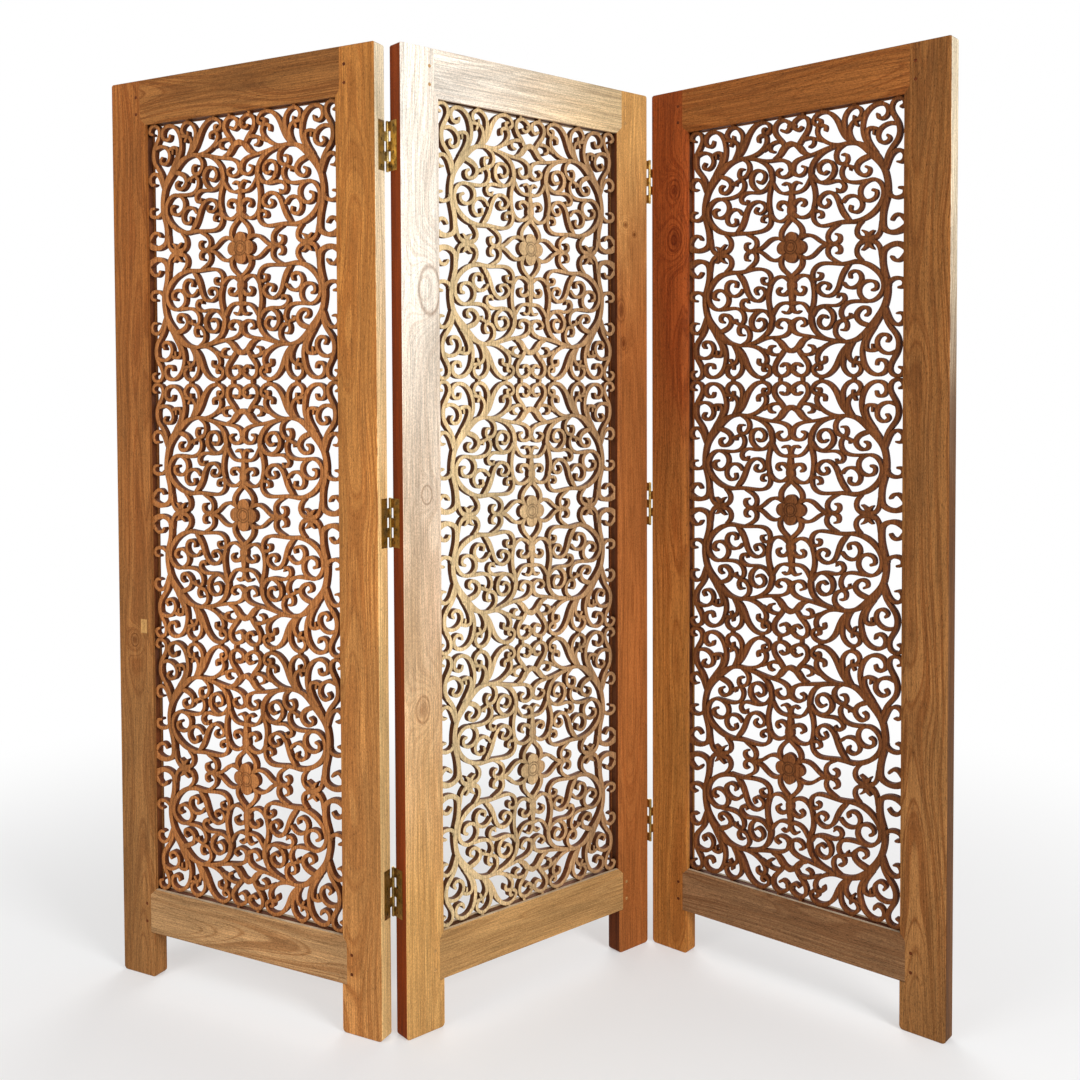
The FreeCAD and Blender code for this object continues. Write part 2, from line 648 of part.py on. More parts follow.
def make_boards(panel, end_board, middle_board):
    """Three boards stacked in one panel's opening, the lowest being the top one upside down."""
    boards = []
    for number, name in enumerate(BOARD_NAMES):
        board = doc.addObject("Part::Feature", f"{panel}_panel_{name}_jali")
        board.Label = board.Name
        board.Shape = middle_board if name == "middle" else end_board
        height = value(OPENING_LOW) + (2 * number + 1) * value(HALF_BOARD)
        front = value(GROOVE_FRONT)
        turn = Rotation(V(0, 1, 0), HALF_TURN if name == "lower" else 0)
        board.Placement = Placement(V(value("panel_width") / 2, front, height), turn)
        boards.append(board)
    return boards


# The hinges. A leaf's own frame has its origin on the pin's axis at one end, X into the wood's
# edge, Y from the barrel towards the middle of the wood's thickness and Z along the pin.

def make_leaf(label, knuckles):
    body = new_body(label)
    box(body, "Additive", LEAF_INNER, NOTCH_REACH, "0", "leaf_thickness",
        f"barrel_overhang + leaf_reach - {NOTCH_REACH}", "hinge_length")
    for knuckle in knuckles:
        low = f"({knuckle} * {KNUCKLE_PITCH} + knuckle_gap / 2)"
        tall = f"({KNUCKLE_PITCH} - knuckle_gap)"
        cylinder(body, "Additive", ALONG_Z, "0", "0", low, "barrel_radius", tall)
        box(body, "Additive", LEAF_INNER, "0", low, "leaf_thickness", NOTCH_REACH, tall)
    cylinder(body, "Subtractive", ALONG_Z, "0", "0", "0", "pin_radius + pin_clearance",
             "hinge_length")
    for distance, height in screw_rows(True):
        y = f"barrel_overhang + {distance}"
        cylinder(body, "Subtractive", ALONG_X, LEAF_INNER, y, height,
                 "screw_radius + screw_clearance", "leaf_thickness")
        cone(body, "Subtractive", ALONG_X, LEAF_INNER, y, height,
             "screw_head_radius + screw_clearance", "screw_radius + screw_clearance",
             "screw_head_depth")
    return body


def make_pin(label):
    body = new_body(label)
    low = "(knuckle_gap / 2)"
    high = "(hinge_length - knuckle_gap / 2)"
    cylinder(body, "Additive", ALONG_Z, "0", "0", low, "pin_radius", f"{high} - {low}")
    cylinder(body, "Additive", ALONG_Z, "0", "0", f"{low} - pin_head_thickness",
             "pin_head_radius", "pin_head_thickness")
    cylinder(body, "Additive", ALONG_Z, "0", "0", high, "pin_head_radius", "pin_head_thickness")
    return body


def make_screw(number, distance, height):
    """One countersunk screw at its place in a leaf."""
    body = new_body(f"screw_{number}")
    y = f"barrel_overhang + {distance}"
    shank = "(screw_length - screw_head_depth - screw_point_length)"
    cone(body, "Additive", ALONG_X, LEAF_INNER, y, height, "screw_head_radius", "screw_radius",
         "screw_head_depth")
    cylinder(body, "Additive", ALONG_X, f"{LEAF_INNER} + screw_head_depth", y, height,
             "screw_radius", shank)
    cone(body, "Additive", ALONG_X, f"{LEAF_INNER} + screw_head_depth + {shank}", y, height,
         "screw_radius", "0", "screw_point_length")
    box(body, "Subtractive", LEAF_INNER, f"{y} - screw_head_radius",
        f"{height} - screw_slot_width / 2", "screw_slot_depth", "2 * screw_head_radius",
        "screw_slot_width")
    return body


def make_screw_group(label, screws):
    group = doc.addObject("Part::Compound", label)
    group.Label = label
    group.Links = screws
    return group


# How the panels stand: each outer panel turns about its hinge pins, which follow the centre panel

def pin_place(side, barrel_face, height):
    """A point on the pins' axis beside one edge of a panel, in the panel's frame."""
    gap = value(PIN_GAP)
    over = value("barrel_overhang")
    x = -gap if side == "left" else value("panel_width") + gap
    y = -over if barrel_face == "front" else value("panel_thickness") + over
    return V(x, y, height)


def leaf_place(side, barrel_face, upright, centre):
    """A leaf's frame in its panel's frame."""
    half = value("hinge_length") / 2
    height = centre - half if upright else centre + half
    axis = LEAF_TURNS[side, barrel_face]
    turn = Rotation(axis, HALF_TURN) if axis.Length else Rotation()
    return Placement(pin_place(side, barrel_face, height), turn)


def panel_places():
    upright = V(0, 0, 1)
    centre = Placement(V(), Rotation(upright, value("centre_yaw")))
    places = {"centre": centre}
    for panel, side, centre_side in (("left", "right", "left"), ("right", "left", "right")):
        turn = Rotation(upright, value(f"{panel}_yaw"))
        face = HINGED_EDGES[panel, side][0]
        pin = centre.multVec(pin_place(centre_side, face, 0))
        places[panel] = Placement(pin - turn.multVec(pin_place(side, face, 0)), turn)
    return places


# The whole screen

wood = {}
for panel in ("left", "centre", "right"):
    pieces = [make_stile(panel, side) for side in ("left", "right")]
    pieces += [make_rail(panel, level) for level in ("top", "bottom")]
    pieces.append(make_pegs(panel))
    wood[panel] = pieces

brass = []
screws = []
for number, (distance, height) in enumerate(screw_rows(True), start=1):
    screws.append(make_screw(number, distance, height))
for panel, side in HINGED_EDGES:
    fold = side if panel == "centre" else panel
    owner = "centre" if panel == "centre" else "outer"
    knuckles = CENTRE_KNUCKLES if owner == "centre" else OUTER_KNUCKLES
    for level in HINGE_CENTRES:
        name = f"{fold}_{level}_hinge"
        items = [make_leaf(f"{name}_{owner}_leaf", knuckles)]
        items.append(make_screw_group(f"{name}_{owner}_screws", screws))
        if owner == "centre":
            items.append(make_pin(f"{name}_pin"))
        brass.append((panel, side, level, items))
doc.recompute()

end_board, middle_board = board_solids()
for panel in wood:
    wood[panel] += make_boards(panel, end_board, middle_board)

places = panel_places()
for panel, pieces in wood.items():
    for piece in pieces:
        piece.Placement = places[panel].multiply(piece.Placement)
for panel, side, level, items in brass:
    face, upright = HINGED_EDGES[panel, side]
    local = leaf_place(side, face, upright, value(HINGE_CENTRES[level]))
    for item in items:
        item.Placement = places[panel].multiply(local)
doc.recompute()

nodes = [piece for pieces in wood.values() for piece in pieces]
nodes += [item for *_, items in brass for item in items]
span = FreeCAD.BoundBox()
for piece in nodes:
    if "stile" in piece.Label:
        span.add(piece.Shape.optimalBoundingBox(False))
shift = Placement(V(-span.Center.x, -span.Center.y, -span.ZMin), Rotation())
for node in nodes:
    node.Placement = shift.multiply(node.Placement)
doc.recompute()

for item in doc.Objects:
    if "Invalid" in item.State or "Error" in item.State:
        raise RuntimeError(f"{item.Label} failed")
checked = []
for node in nodes:
    if node.Shape.isNull():
        raise RuntimeError(f"{node.Label} has no shape")
    if any(node.Shape.isPartner(shape) for shape in checked):
        continue
    if not node.Shape.isValid():
        raise RuntimeError(f"{node.Label} isn't valid")
    checked.append(node.Shape)
for node in nodes:
    node.Shape.exportStep(f"parts/{node.Label}.step")
print(len(nodes), "pieces, their box", span)
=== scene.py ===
import json
import math

import bpy
import numpy as np
from mathutils import Matrix, Vector


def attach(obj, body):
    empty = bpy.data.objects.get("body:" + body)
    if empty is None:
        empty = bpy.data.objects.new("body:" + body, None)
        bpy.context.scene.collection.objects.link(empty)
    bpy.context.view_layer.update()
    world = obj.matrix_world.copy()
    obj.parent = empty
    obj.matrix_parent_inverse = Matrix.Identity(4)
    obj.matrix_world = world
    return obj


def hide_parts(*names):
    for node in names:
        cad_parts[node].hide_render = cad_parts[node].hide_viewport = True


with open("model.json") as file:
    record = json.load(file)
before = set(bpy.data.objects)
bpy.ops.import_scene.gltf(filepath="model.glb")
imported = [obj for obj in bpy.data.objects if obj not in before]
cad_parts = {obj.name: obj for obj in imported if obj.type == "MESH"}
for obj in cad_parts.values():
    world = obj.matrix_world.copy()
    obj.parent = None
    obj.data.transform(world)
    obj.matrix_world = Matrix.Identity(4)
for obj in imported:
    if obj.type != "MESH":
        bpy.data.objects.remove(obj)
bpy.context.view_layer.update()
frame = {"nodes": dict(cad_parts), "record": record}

MM = 0.001

# The camera, as the photograph places it in front of the screen.
CAMERA_PLACE = (-0.0334, -2.3362, 1.1655)
CAMERA_PITCH_DEG = -1.77
CAMERA_ROLL_DEG = -0.30
FRAME_PIXELS = 1080
FOCAL_PIXELS = 1196.1
CENTRE_PIXEL = (492.8, 436.1)
SENSOR_WIDTH = 36.0

# The carved boards. Sizes are in metres, and drops are measured down from the board's face.
BOARD_NAMES = ("lower", "middle", "upper")
BACK_SHARE = 0.4  # of the front's relief, on the back
RIM_INSET = 1.0 * MM

# How closely a stroke is sampled, and how far apart its rows of points may be.
SAMPLE_STEP = 0.6 * MM
LONG_STEP = 5 * MM
TURN_STEP = math.radians(19)

# Where points stand across a stroke, as shares of its half width, and round its ends.
ACROSS = np.array([-1, -0.75, 0, 0.75, 1])
CAP_TURNS = np.radians([35, 65, 86])
HOLLOW_SHARE = 0.95  # of a bend's own radius, which its inner edge doesn't pass
LEAST_BEND = 1e-3

# A stroke that meets an axis within this reach, and about squarely, runs on across it.
AXIS_REACH = 0.5 * MM
SQUARE_SHARE = 0.6

# The relief of the strokes, their levels, how they join, and where their edges are marked for
# painted shade.
STROKE_SLIM = 0.88
CROWN_DROP = 0.4 * MM
EDGE_DROP = 0.9 * MM
EDGE_SHARPNESS = 6
LAYER_DROP = 0.8 * MM
LAYER_STEP = 0.618
JOINT_DEPTH = 0.5 * MM
JOINT_SINK = 1.2 * MM
JOINT_REACH = 6 * MM
GROOVE_SIGHT = 0.4 * MM
GROOVE_START = 0.55

# The flower: petals about a heart, with a ringed boss and a dished button on it.
PETAL_COUNT = 4
PETAL_RING = 17.5 * MM
PETAL_RADIUS = 13.5 * MM
HEART_RADIUS = 14 * MM
FLOWER_CELLS = 60
FLOWER_EDGE = 3.2 * MM
FLOWER_SINK = 3 * MM
FLOWER_GROOVE = 2.2 * MM
GROOVE_DEPTH = 1.2 * MM
BOSS_RADIUS = 9.0 * MM
BOSS_RING = 13.5 * MM
BOSS_GROOVE = 1.3 * MM
BUTTON_RADIUS = 5.0 * MM
BOSS_DIP = 1.0 * MM

# The slow shifts of a pattern carved by eye: their size, number, wave lengths and fading edge.
HAND_SWAY = 0.9 * MM
SWAY_WAVES = 6
SWAY_LENGTHS = (60, 160)
SWAY_FADE = 8

# Each stroke of the pattern is a line of points, given as shares of the opening's half width,
# of a board's half height and, for the stroke's width, of the half width again.
SCROLL_SHARES = {
    "side_loop": [(.072, .055, .034), (.110, .078, .034), (.152, .084, .034), (.200, .071, .034),
        (.240, .044, .034), (.278, .018, .034), (.335, .000, .040)],
    "top_loop": [(.072, .055, .040), (.095, .082, .040), (.101, .117, .040), (.086, .151, .038),
        (.057, .181, .036), (.026, .206, .036), (.000, .230, .046)],
    "stem": [(.000, .220, .050), (.000, .280, .090), (.000, .330, .070), (.000, .390, .046),
        (.000, .440, .046)],
    "anchor": [(.010, .255, .050), (.060, .225, .034), (.120, .215, .032), (.175, .240, .034),
        (.205, .285, .038)],
    "anchor_curl": [(.015, .320, .050), (.042, .343, .036), (.083, .355, .034),
        (.117, .343, .032), (.124, .318, .030), (.105, .303, .028)],
    "palmette": [(.000, .420, .046), (.060, .415, .030), (.110, .430, .030), (.145, .462, .032),
        (.175, .510, .030)],
    "palmette_tip": [(.000, .435, .040), (.015, .475, .034), (.045, .493, .026),
        (.075, .482, .022)],
    "heart_low": [(.000, .575, .060), (.030, .550, .034), (.075, .538, .032), (.120, .555, .030),
        (.132, .585, .028), (.102, .602, .026)],
    "heart_high": [(.000, .575, .060), (.020, .630, .038), (.070, .662, .034), (.140, .676, .032),
        (.240, .688, .034), (.340, .708, .034), (.440, .725, .030)],
    "inner_band": [(.430, .715, .020), (.330, .698, .030), (.255, .668, .040), (.205, .620, .046),
        (.183, .560, .050), (.185, .500, .046), (.205, .440, .040), (.215, .380, .038),
        (.212, .320, .040), (.200, .280, .040)],
    "cup": [(.210, .275, .034), (.195, .230, .034), (.205, .185, .034), (.245, .152, .034),
        (.320, .142, .034), (.410, .148, .034), (.500, .150, .040), (.580, .142, .040)],
    "cup_curl": [(.205, .255, .030), (.242, .260, .030), (.272, .244, .030), (.274, .218, .028),
        (.252, .210, .022)],
    "ring": [(.500, .150, .030), (.600, .150, .040), (.680, .172, .046), (.750, .215, .046),
        (.800, .275, .042), (.815, .340, .040), (.790, .400, .038), (.730, .438, .034),
        (.660, .430, .034), (.615, .390, .036), (.615, .335, .036), (.655, .297, .034),
        (.710, .290, .032), (.752, .315, .032), (.750, .350, .032), (.725, .360, .030)],
    "ring_curl": [(.470, .295, .030), (.500, .325, .030), (.560, .338, .032), (.610, .315, .034),
        (.630, .270, .034), (.610, .228, .032), (.565, .215, .032), (.530, .235, .030),
        (.535, .260, .028)],
    "leaf_s": [(.530, .150, .030), (.485, .195, .050), (.450, .250, .046), (.425, .310, .042),
        (.390, .360, .038), (.330, .385, .034), (.270, .365, .034), (.245, .325, .034),
        (.270, .292, .030), (.312, .284, .030), (.342, .305, .030), (.328, .332, .026)],
    "bar": [(.210, .485, .030), (.270, .460, .030), (.340, .455, .030), (.405, .460, .032),
        (.455, .445, .034), (.480, .410, .034), (.460, .378, .034), (.420, .375, .030)],
    "bar_spike": [(.430, .372, .030), (.415, .398, .016)],
    "coil": [(.195, .520, .040), (.225, .485, .034), (.290, .462, .030), (.350, .485, .038),
        (.385, .535, .044), (.378, .585, .038), (.335, .618, .032), (.280, .612, .032),
        (.250, .575, .032), (.265, .538, .032), (.300, .526, .030), (.325, .540, .026)],
    "hook": [(.470, .720, .030), (.420, .692, .034), (.400, .650, .036), (.412, .608, .036),
        (.450, .580, .034), (.490, .582, .034), (.505, .620, .032), (.488, .645, .028),
        (.460, .645, .020)],
    "under_hook": [(.485, .575, .030), (.455, .540, .034), (.455, .495, .034), (.485, .455, .034),
        (.540, .436, .034), (.610, .434, .034), (.670, .438, .036)],
    "link": [(.480, .572, .030), (.520, .555, .030), (.560, .540, .036)],
    "link_spike": [(.525, .555, .020), (.530, .525, .016)],
    "eye": [(.720, .620, .040), (.650, .602, .048), (.600, .575, .042), (.580, .535, .040),
        (.605, .495, .036), (.650, .478, .034), (.688, .495, .032), (.688, .525, .030),
        (.665, .538, .026)],
    "main": [(.845, .300, .050), (.850, .370, .048), (.840, .440, .050), (.820, .500, .054),
        (.780, .560, .066), (.725, .620, .082), (.660, .675, .066), (.590, .712, .044),
        (.510, .728, .038), (.430, .725, .034), (.340, .742, .036), (.280, .775, .036),
        (.242, .815, .036), (.235, .855, .036), (.250, .885, .040)],
    "leaf_curl": [(.530, .730, .030), (.480, .785, .050), (.445, .845, .052), (.415, .900, .046),
        (.370, .950, .040), (.310, .980, .036), (.250, .978, .034), (.208, .950, .034),
        (.200, .915, .032), (.230, .890, .034)],
    "leaf_right": [(.240, .880, .036), (.285, .882, .034), (.312, .868, .034),
        (.312, .842, .030)],
    "leaf_up": [(.245, .885, .036), (.265, .905, .034), (.262, .925, .034), (.242, .930, .026)],
    "leaf_tie": [(.275, .985, .034), (.275, 1.010, .034)],
    "diamond": [(.000, .785, .050), (.040, .772, .050), (.080, .740, .060), (.110, .708, .050),
        (.160, .690, .030)],
    "crown": [(.060, .770, .040), (.100, .820, .042), (.142, .865, .042), (.160, .910, .040),
        (.142, .955, .036), (.095, .975, .034), (.045, .962, .034), (.015, .930, .040),
        (.025, .900, .036), (.060, .882, .030), (.092, .898, .028)],
    "crown_tie": [(.105, .975, .030), (.105, 1.010, .030)],
    "crown_seat": [(.000, .920, .050), (.020, .920, .050)],
    "lobe": [(.100, .810, .034), (.155, .812, .032), (.210, .795, .032), (.270, .770, .034)],
    "lobe_curl": [(.175, .810, .030), (.205, .782, .032), (.195, .755, .030), (.165, .745, .024)],
    "bud": [(.550, .730, .030), (.495, .790, .050), (.472, .850, .046), (.472, .910, .036),
        (.505, .960, .034), (.555, .982, .034), (.610, .962, .034), (.625, .920, .032),
        (.600, .890, .030)],
    "bud_tie": [(.565, .985, .034), (.565, 1.010, .034)],
    "bud_stem": [(.560, .730, .030), (.520, .780, .044), (.515, .830, .034), (.545, .870, .034),
        (.590, .882, .034), (.635, .885, .030)],
    "bud_up": [(.560, .875, .034), (.560, .910, .024)],
    "bud_down": [(.565, .875, .034), (.585, .842, .026)],
    "corner": [(.710, .660, .030), (.660, .720, .038), (.635, .790, .038), (.640, .860, .040),
        (.670, .925, .040), (.720, .965, .036), (.785, .975, .036), (.835, .950, .038),
        (.845, .900, .036), (.810, .868, .034), (.770, .875, .032), (.760, .900, .026)],
    "drop_left": [(.750, .630, .030), (.695, .700, .036), (.672, .760, .034), (.680, .795, .034),
        (.720, .805, .032), (.770, .790, .034)],
    "drop_spike": [(.730, .798, .026), (.728, .760, .020)],
    "drop_coil": [(.930, .805, .036), (.880, .822, .034), (.820, .815, .034), (.775, .780, .034),
        (.765, .730, .034), (.795, .692, .034), (.840, .688, .032), (.865, .712, .030),
        (.850, .735, .028)],
    "drop_right": [(.830, .520, .040), (.845, .585, .040), (.885, .645, .042), (.930, .700, .044),
        (.945, .760, .044), (.930, .820, .044), (.895, .875, .042), (.875, .925, .038),
        (.888, .968, .036), (.930, .988, .034), (.975, .975, .034), (.985, .940, .036),
        (.955, .925, .026)],
    "corner_tie": [(.930, .985, .034), (.930, 1.010, .034)],
    "low_right": [(.855, .330, .048), (.830, .260, .050), (.810, .190, .052), (.805, .130, .052),
        (.815, .080, .050), (.860, .050, .044), (.920, .042, .048), (.980, .060, .060),
        (1.020, .090, .060)],
    "low_curl": [(1.020, .100, .050), (.985, .135, .040), (.950, .162, .034), (.910, .160, .032),
        (.885, .135, .030)],
    "side_curl": [(.850, .325, .040), (.890, .295, .034), (.940, .288, .036), (.987, .310, .038),
        (.982, .345, .034), (.945, .355, .026)],
    "side_curl_high": [(.835, .490, .030), (.855, .545, .036), (.885, .595, .034),
        (.930, .620, .034), (.975, .605, .038), (.988, .565, .038), (.960, .535, .030),
        (.930, .538, .020)],
    "knot_left": [(.630, .140, .030), (.595, .105, .034), (.585, .065, .034), (.610, .025, .036),
        (.660, .008, .050), (.720, .008, .050), (.765, .035, .036), (.785, .075, .034),
        (.795, .130, .040)],
    "horn_left": [(.690, .020, .060), (.670, .050, .030), (.640, .070, .016)],
    "horn_right": [(.690, .020, .060), (.710, .050, .030), (.730, .066, .016)],
    "three": [(.430, .140, .030), (.375, .115, .034), (.335, .080, .034), (.330, .040, .034),
        (.360, .005, .040), (.405, .005, .034), (.438, .032, .034), (.432, .062, .030),
        (.408, .070, .022)],
}


class Panel:
    """One of the three panels. Its axes are X along it, Y to its back and Z up, from its foot's
    middle."""

    def __init__(self, name, foot_places):
        left = foot_places[f"{name}_panel_left_foot"]
        right = foot_places[f"{name}_panel_right_foot"]
        along = right - left
        self.name = name
        self.body = f"{name}_panel"
        self.turn = Matrix.Rotation(math.atan2(along.y, along.x), 4, "Z")
        self.place = Matrix.Translation((left + right) / 2) @ self.turn

    def node_box(self, node):
        """Lowest and highest corner of a CAD node in the panel's own axes."""
        mesh = frame["nodes"][node].data
        corners = np.empty(len(mesh.vertices) * 3, np.float32)
        mesh.vertices.foreach_get("co", corners)
        back = np.array(self.place.inverted())
        own = corners.reshape(-1, 3) @ back[:3, :3].T + back[:3, 3]
        return own.min(0), own.max(0)


FOOT_PLACES = {mount["name"]: Vector(mount["pos_m"]) for mount in frame["record"]["mounts"]}
PANELS = {name: Panel(name, FOOT_PLACES) for name in ("left", "centre", "right")}


# The carved boards as meshes.

def spline_headings(gaps, slopes):
    """The headings of the smooth curve at its points, with free ends (a natural cubic spline)."""
    size = len(gaps) + 1
    rows = np.zeros((size, size))
    right = np.zeros((size, 2))
    rows[0, :2] = 2, 1
    right[0] = 3 * slopes[0]
    rows[-1, -2:] = 1, 2
    right[-1] = 3 * slopes[-1]
    for i in range(1, size - 1):
        rows[i, i - 1] = gaps[i]
        rows[i, i] = 2 * (gaps[i - 1] + gaps[i])
        rows[i, i + 1] = gaps[i - 1]
        right[i] = 3 * (gaps[i] * slopes[i - 1] + gaps[i - 1] * slopes[i])
    return np.linalg.solve(rows, right)


def smooth_line(points):
    """Places and radii close together along the smooth curve through a stroke's points."""
    places = points[:, :2]
    if len(points) == 2:
        steps = max(2, int(np.linalg.norm(places[1] - places[0]) / SAMPLE_STEP))
        share = np.linspace(0, 1, steps + 1)[:, None]
        line = points[0] * (1 - share) + points[1] * share
        return line[:, :2], line[:, 2] / 2
    stops = np.concatenate([[0], np.cumsum(np.linalg.norm(np.diff(places, axis=0), axis=1))])
    gaps = np.diff(stops)
    heading = spline_headings(gaps, np.diff(places, axis=0) / gaps[:, None])
    along = np.linspace(0, stops[-1], max(4, int(stops[-1] / SAMPLE_STEP)))
    span = np.clip(np.searchsorted(stops, along, side="right") - 1, 0, len(gaps) - 1)
    share = ((along - stops[span]) / gaps[span])[:, None]
    gap = gaps[span][:, None]
    line = (
        places[span] * (1 + 2 * share) * (1 - share) ** 2
        + heading[span] * gap * share * (1 - share) ** 2
        + places[span + 1] * share ** 2 * (3 - 2 * share)
        - heading[span + 1] * gap * share ** 2 * (1 - share)
    )
    return line, np.interp(along, stops, points[:, 2]) / 2


def join_mirrored(line, radii):
    """Carry a stroke on across an axis that it meets squarely, and list the copies it needs."""
    flips = [(1, 1), (-1, 1), (1, -1), (-1, -1)]
    for axis in (0, 1):
        mirror = np.ones(2)
        mirror[axis] = -1
        joined = np.abs(line[:, axis]).max() < AXIS_REACH
        for _ in range(2):
            step = line[1] - line[0]
            square = abs(step[axis]) > SQUARE_SHARE * np.linalg.norm(step)
            if not joined and square and abs(line[0, axis]) < AXIS_REACH:
                line = np.concatenate([line[:0:-1] * mirror, line])
                radii = np.concatenate([radii[:0:-1], radii])
                joined = True
            line, radii = line[::-1], radii[::-1]
        if joined:
            flips = [flip for flip in flips if flip[axis] == 1]
    return line, radii, flips


class Stroke:
    """A round-ended stroke of the carving: a line with a radius at each place, and a level."""

    def __init__(self, line, radii, level):
        self.line = line
        self.radii = radii
        self.level = level
        reach = radii.max() + GROOVE_SIGHT
        self.low = line.min(0) - reach
        self.high = line.max(0) + reach

    def edge(self, places):
        """How far each place lies outside the stroke, which is less than 0 inside it."""
        result = np.full(len(places), np.inf)
        near = ((places >= self.low) & (places <= self.high)).all(1)
        if near.any():
            gaps = np.linalg.norm(places[near][:, None, :] - self.line, axis=2) - self.radii
            result[near] = gaps.min(1)
        return result

    def rows(self, capped):
        """Rows of points across the stroke, each point's share of the way from the middle of the
        stroke to its edge, and how far along the line each row stands."""
        step = np.diff(self.line, axis=0)
        length = np.linalg.norm(step, axis=1)
        heading = np.unwrap(np.arctan2(step[:, 1], step[:, 0]))
        turn = np.abs(np.diff(heading, prepend=heading[0]))
        need = np.concatenate([[0], np.cumsum(np.maximum(length / LONG_STEP, turn / TURN_STEP))])
        numbers = np.arange(len(self.line))
        at = np.interp(np.linspace(0, need[-1], math.ceil(need[-1]) + 1), need, numbers)
        heading_at = np.interp(at, numbers[:-1] + 0.5, heading)
        curve = np.interp(at, numbers[:-1] + 0.5, np.gradient(heading) / length)
        push = np.zeros(len(at))
        for end, cap in enumerate(capped):
            if cap:
                turns = CAP_TURNS if end else -CAP_TURNS[::-1]
                spot = len(at) if end else 0
                at = np.insert(at, spot, np.full(len(turns), at[-end]))
                heading_at = np.insert(heading_at, spot, np.full(len(turns), heading_at[-end]))
                curve = np.insert(curve, spot, np.zeros(len(turns)))
                push = np.insert(push, spot, np.sin(turns))
        middle = np.stack([np.interp(at, numbers, self.line[:, axis]) for axis in (0, 1)], 1)
        radius = np.interp(at, numbers, self.radii)
        ahead = np.stack([np.cos(heading_at), np.sin(heading_at)], 1)
        aside = np.stack([-ahead[:, 1], ahead[:, 0]], 1)
        squeeze = np.sqrt(1 - push ** 2)
        side = ACROSS * (squeeze * radius)[:, None]
        hollow = HOLLOW_SHARE / np.maximum(np.abs(curve), LEAST_BEND)
        inward = side * np.sign(curve)[:, None] > hollow[:, None]
        side = np.where(inward, (hollow * np.sign(curve))[:, None], side)
        spine = middle + ahead * (push * radius)[:, None]
        points = spine[:, None, :] + aside[:, None, :] * side[..., None]
        share = np.sqrt((ACROSS * squeeze[:, None]) ** 2 + push[:, None] ** 2)
        along = np.interp(at, numbers, np.concatenate([[0], np.cumsum(length)]))
        return points, share, along


def grid_faces(rows, columns):
    """Quads of a grid of points, row after row, and the edges round it in the quads' own turn."""
    numbers = np.arange(rows * columns).reshape(rows, columns)
    quads = np.stack([numbers[:-1, :-1], numbers[1:, :-1], numbers[1:, 1:], numbers[:-1, 1:]], 2)
    sides = [numbers[:, 0], numbers[-1, 1:], numbers[-2::-1, -1], numbers[0, -2:0:-1]]
    ring = np.concatenate(sides)
    return quads.reshape(-1, 4), np.stack([ring, np.roll(ring, -1)], 1)


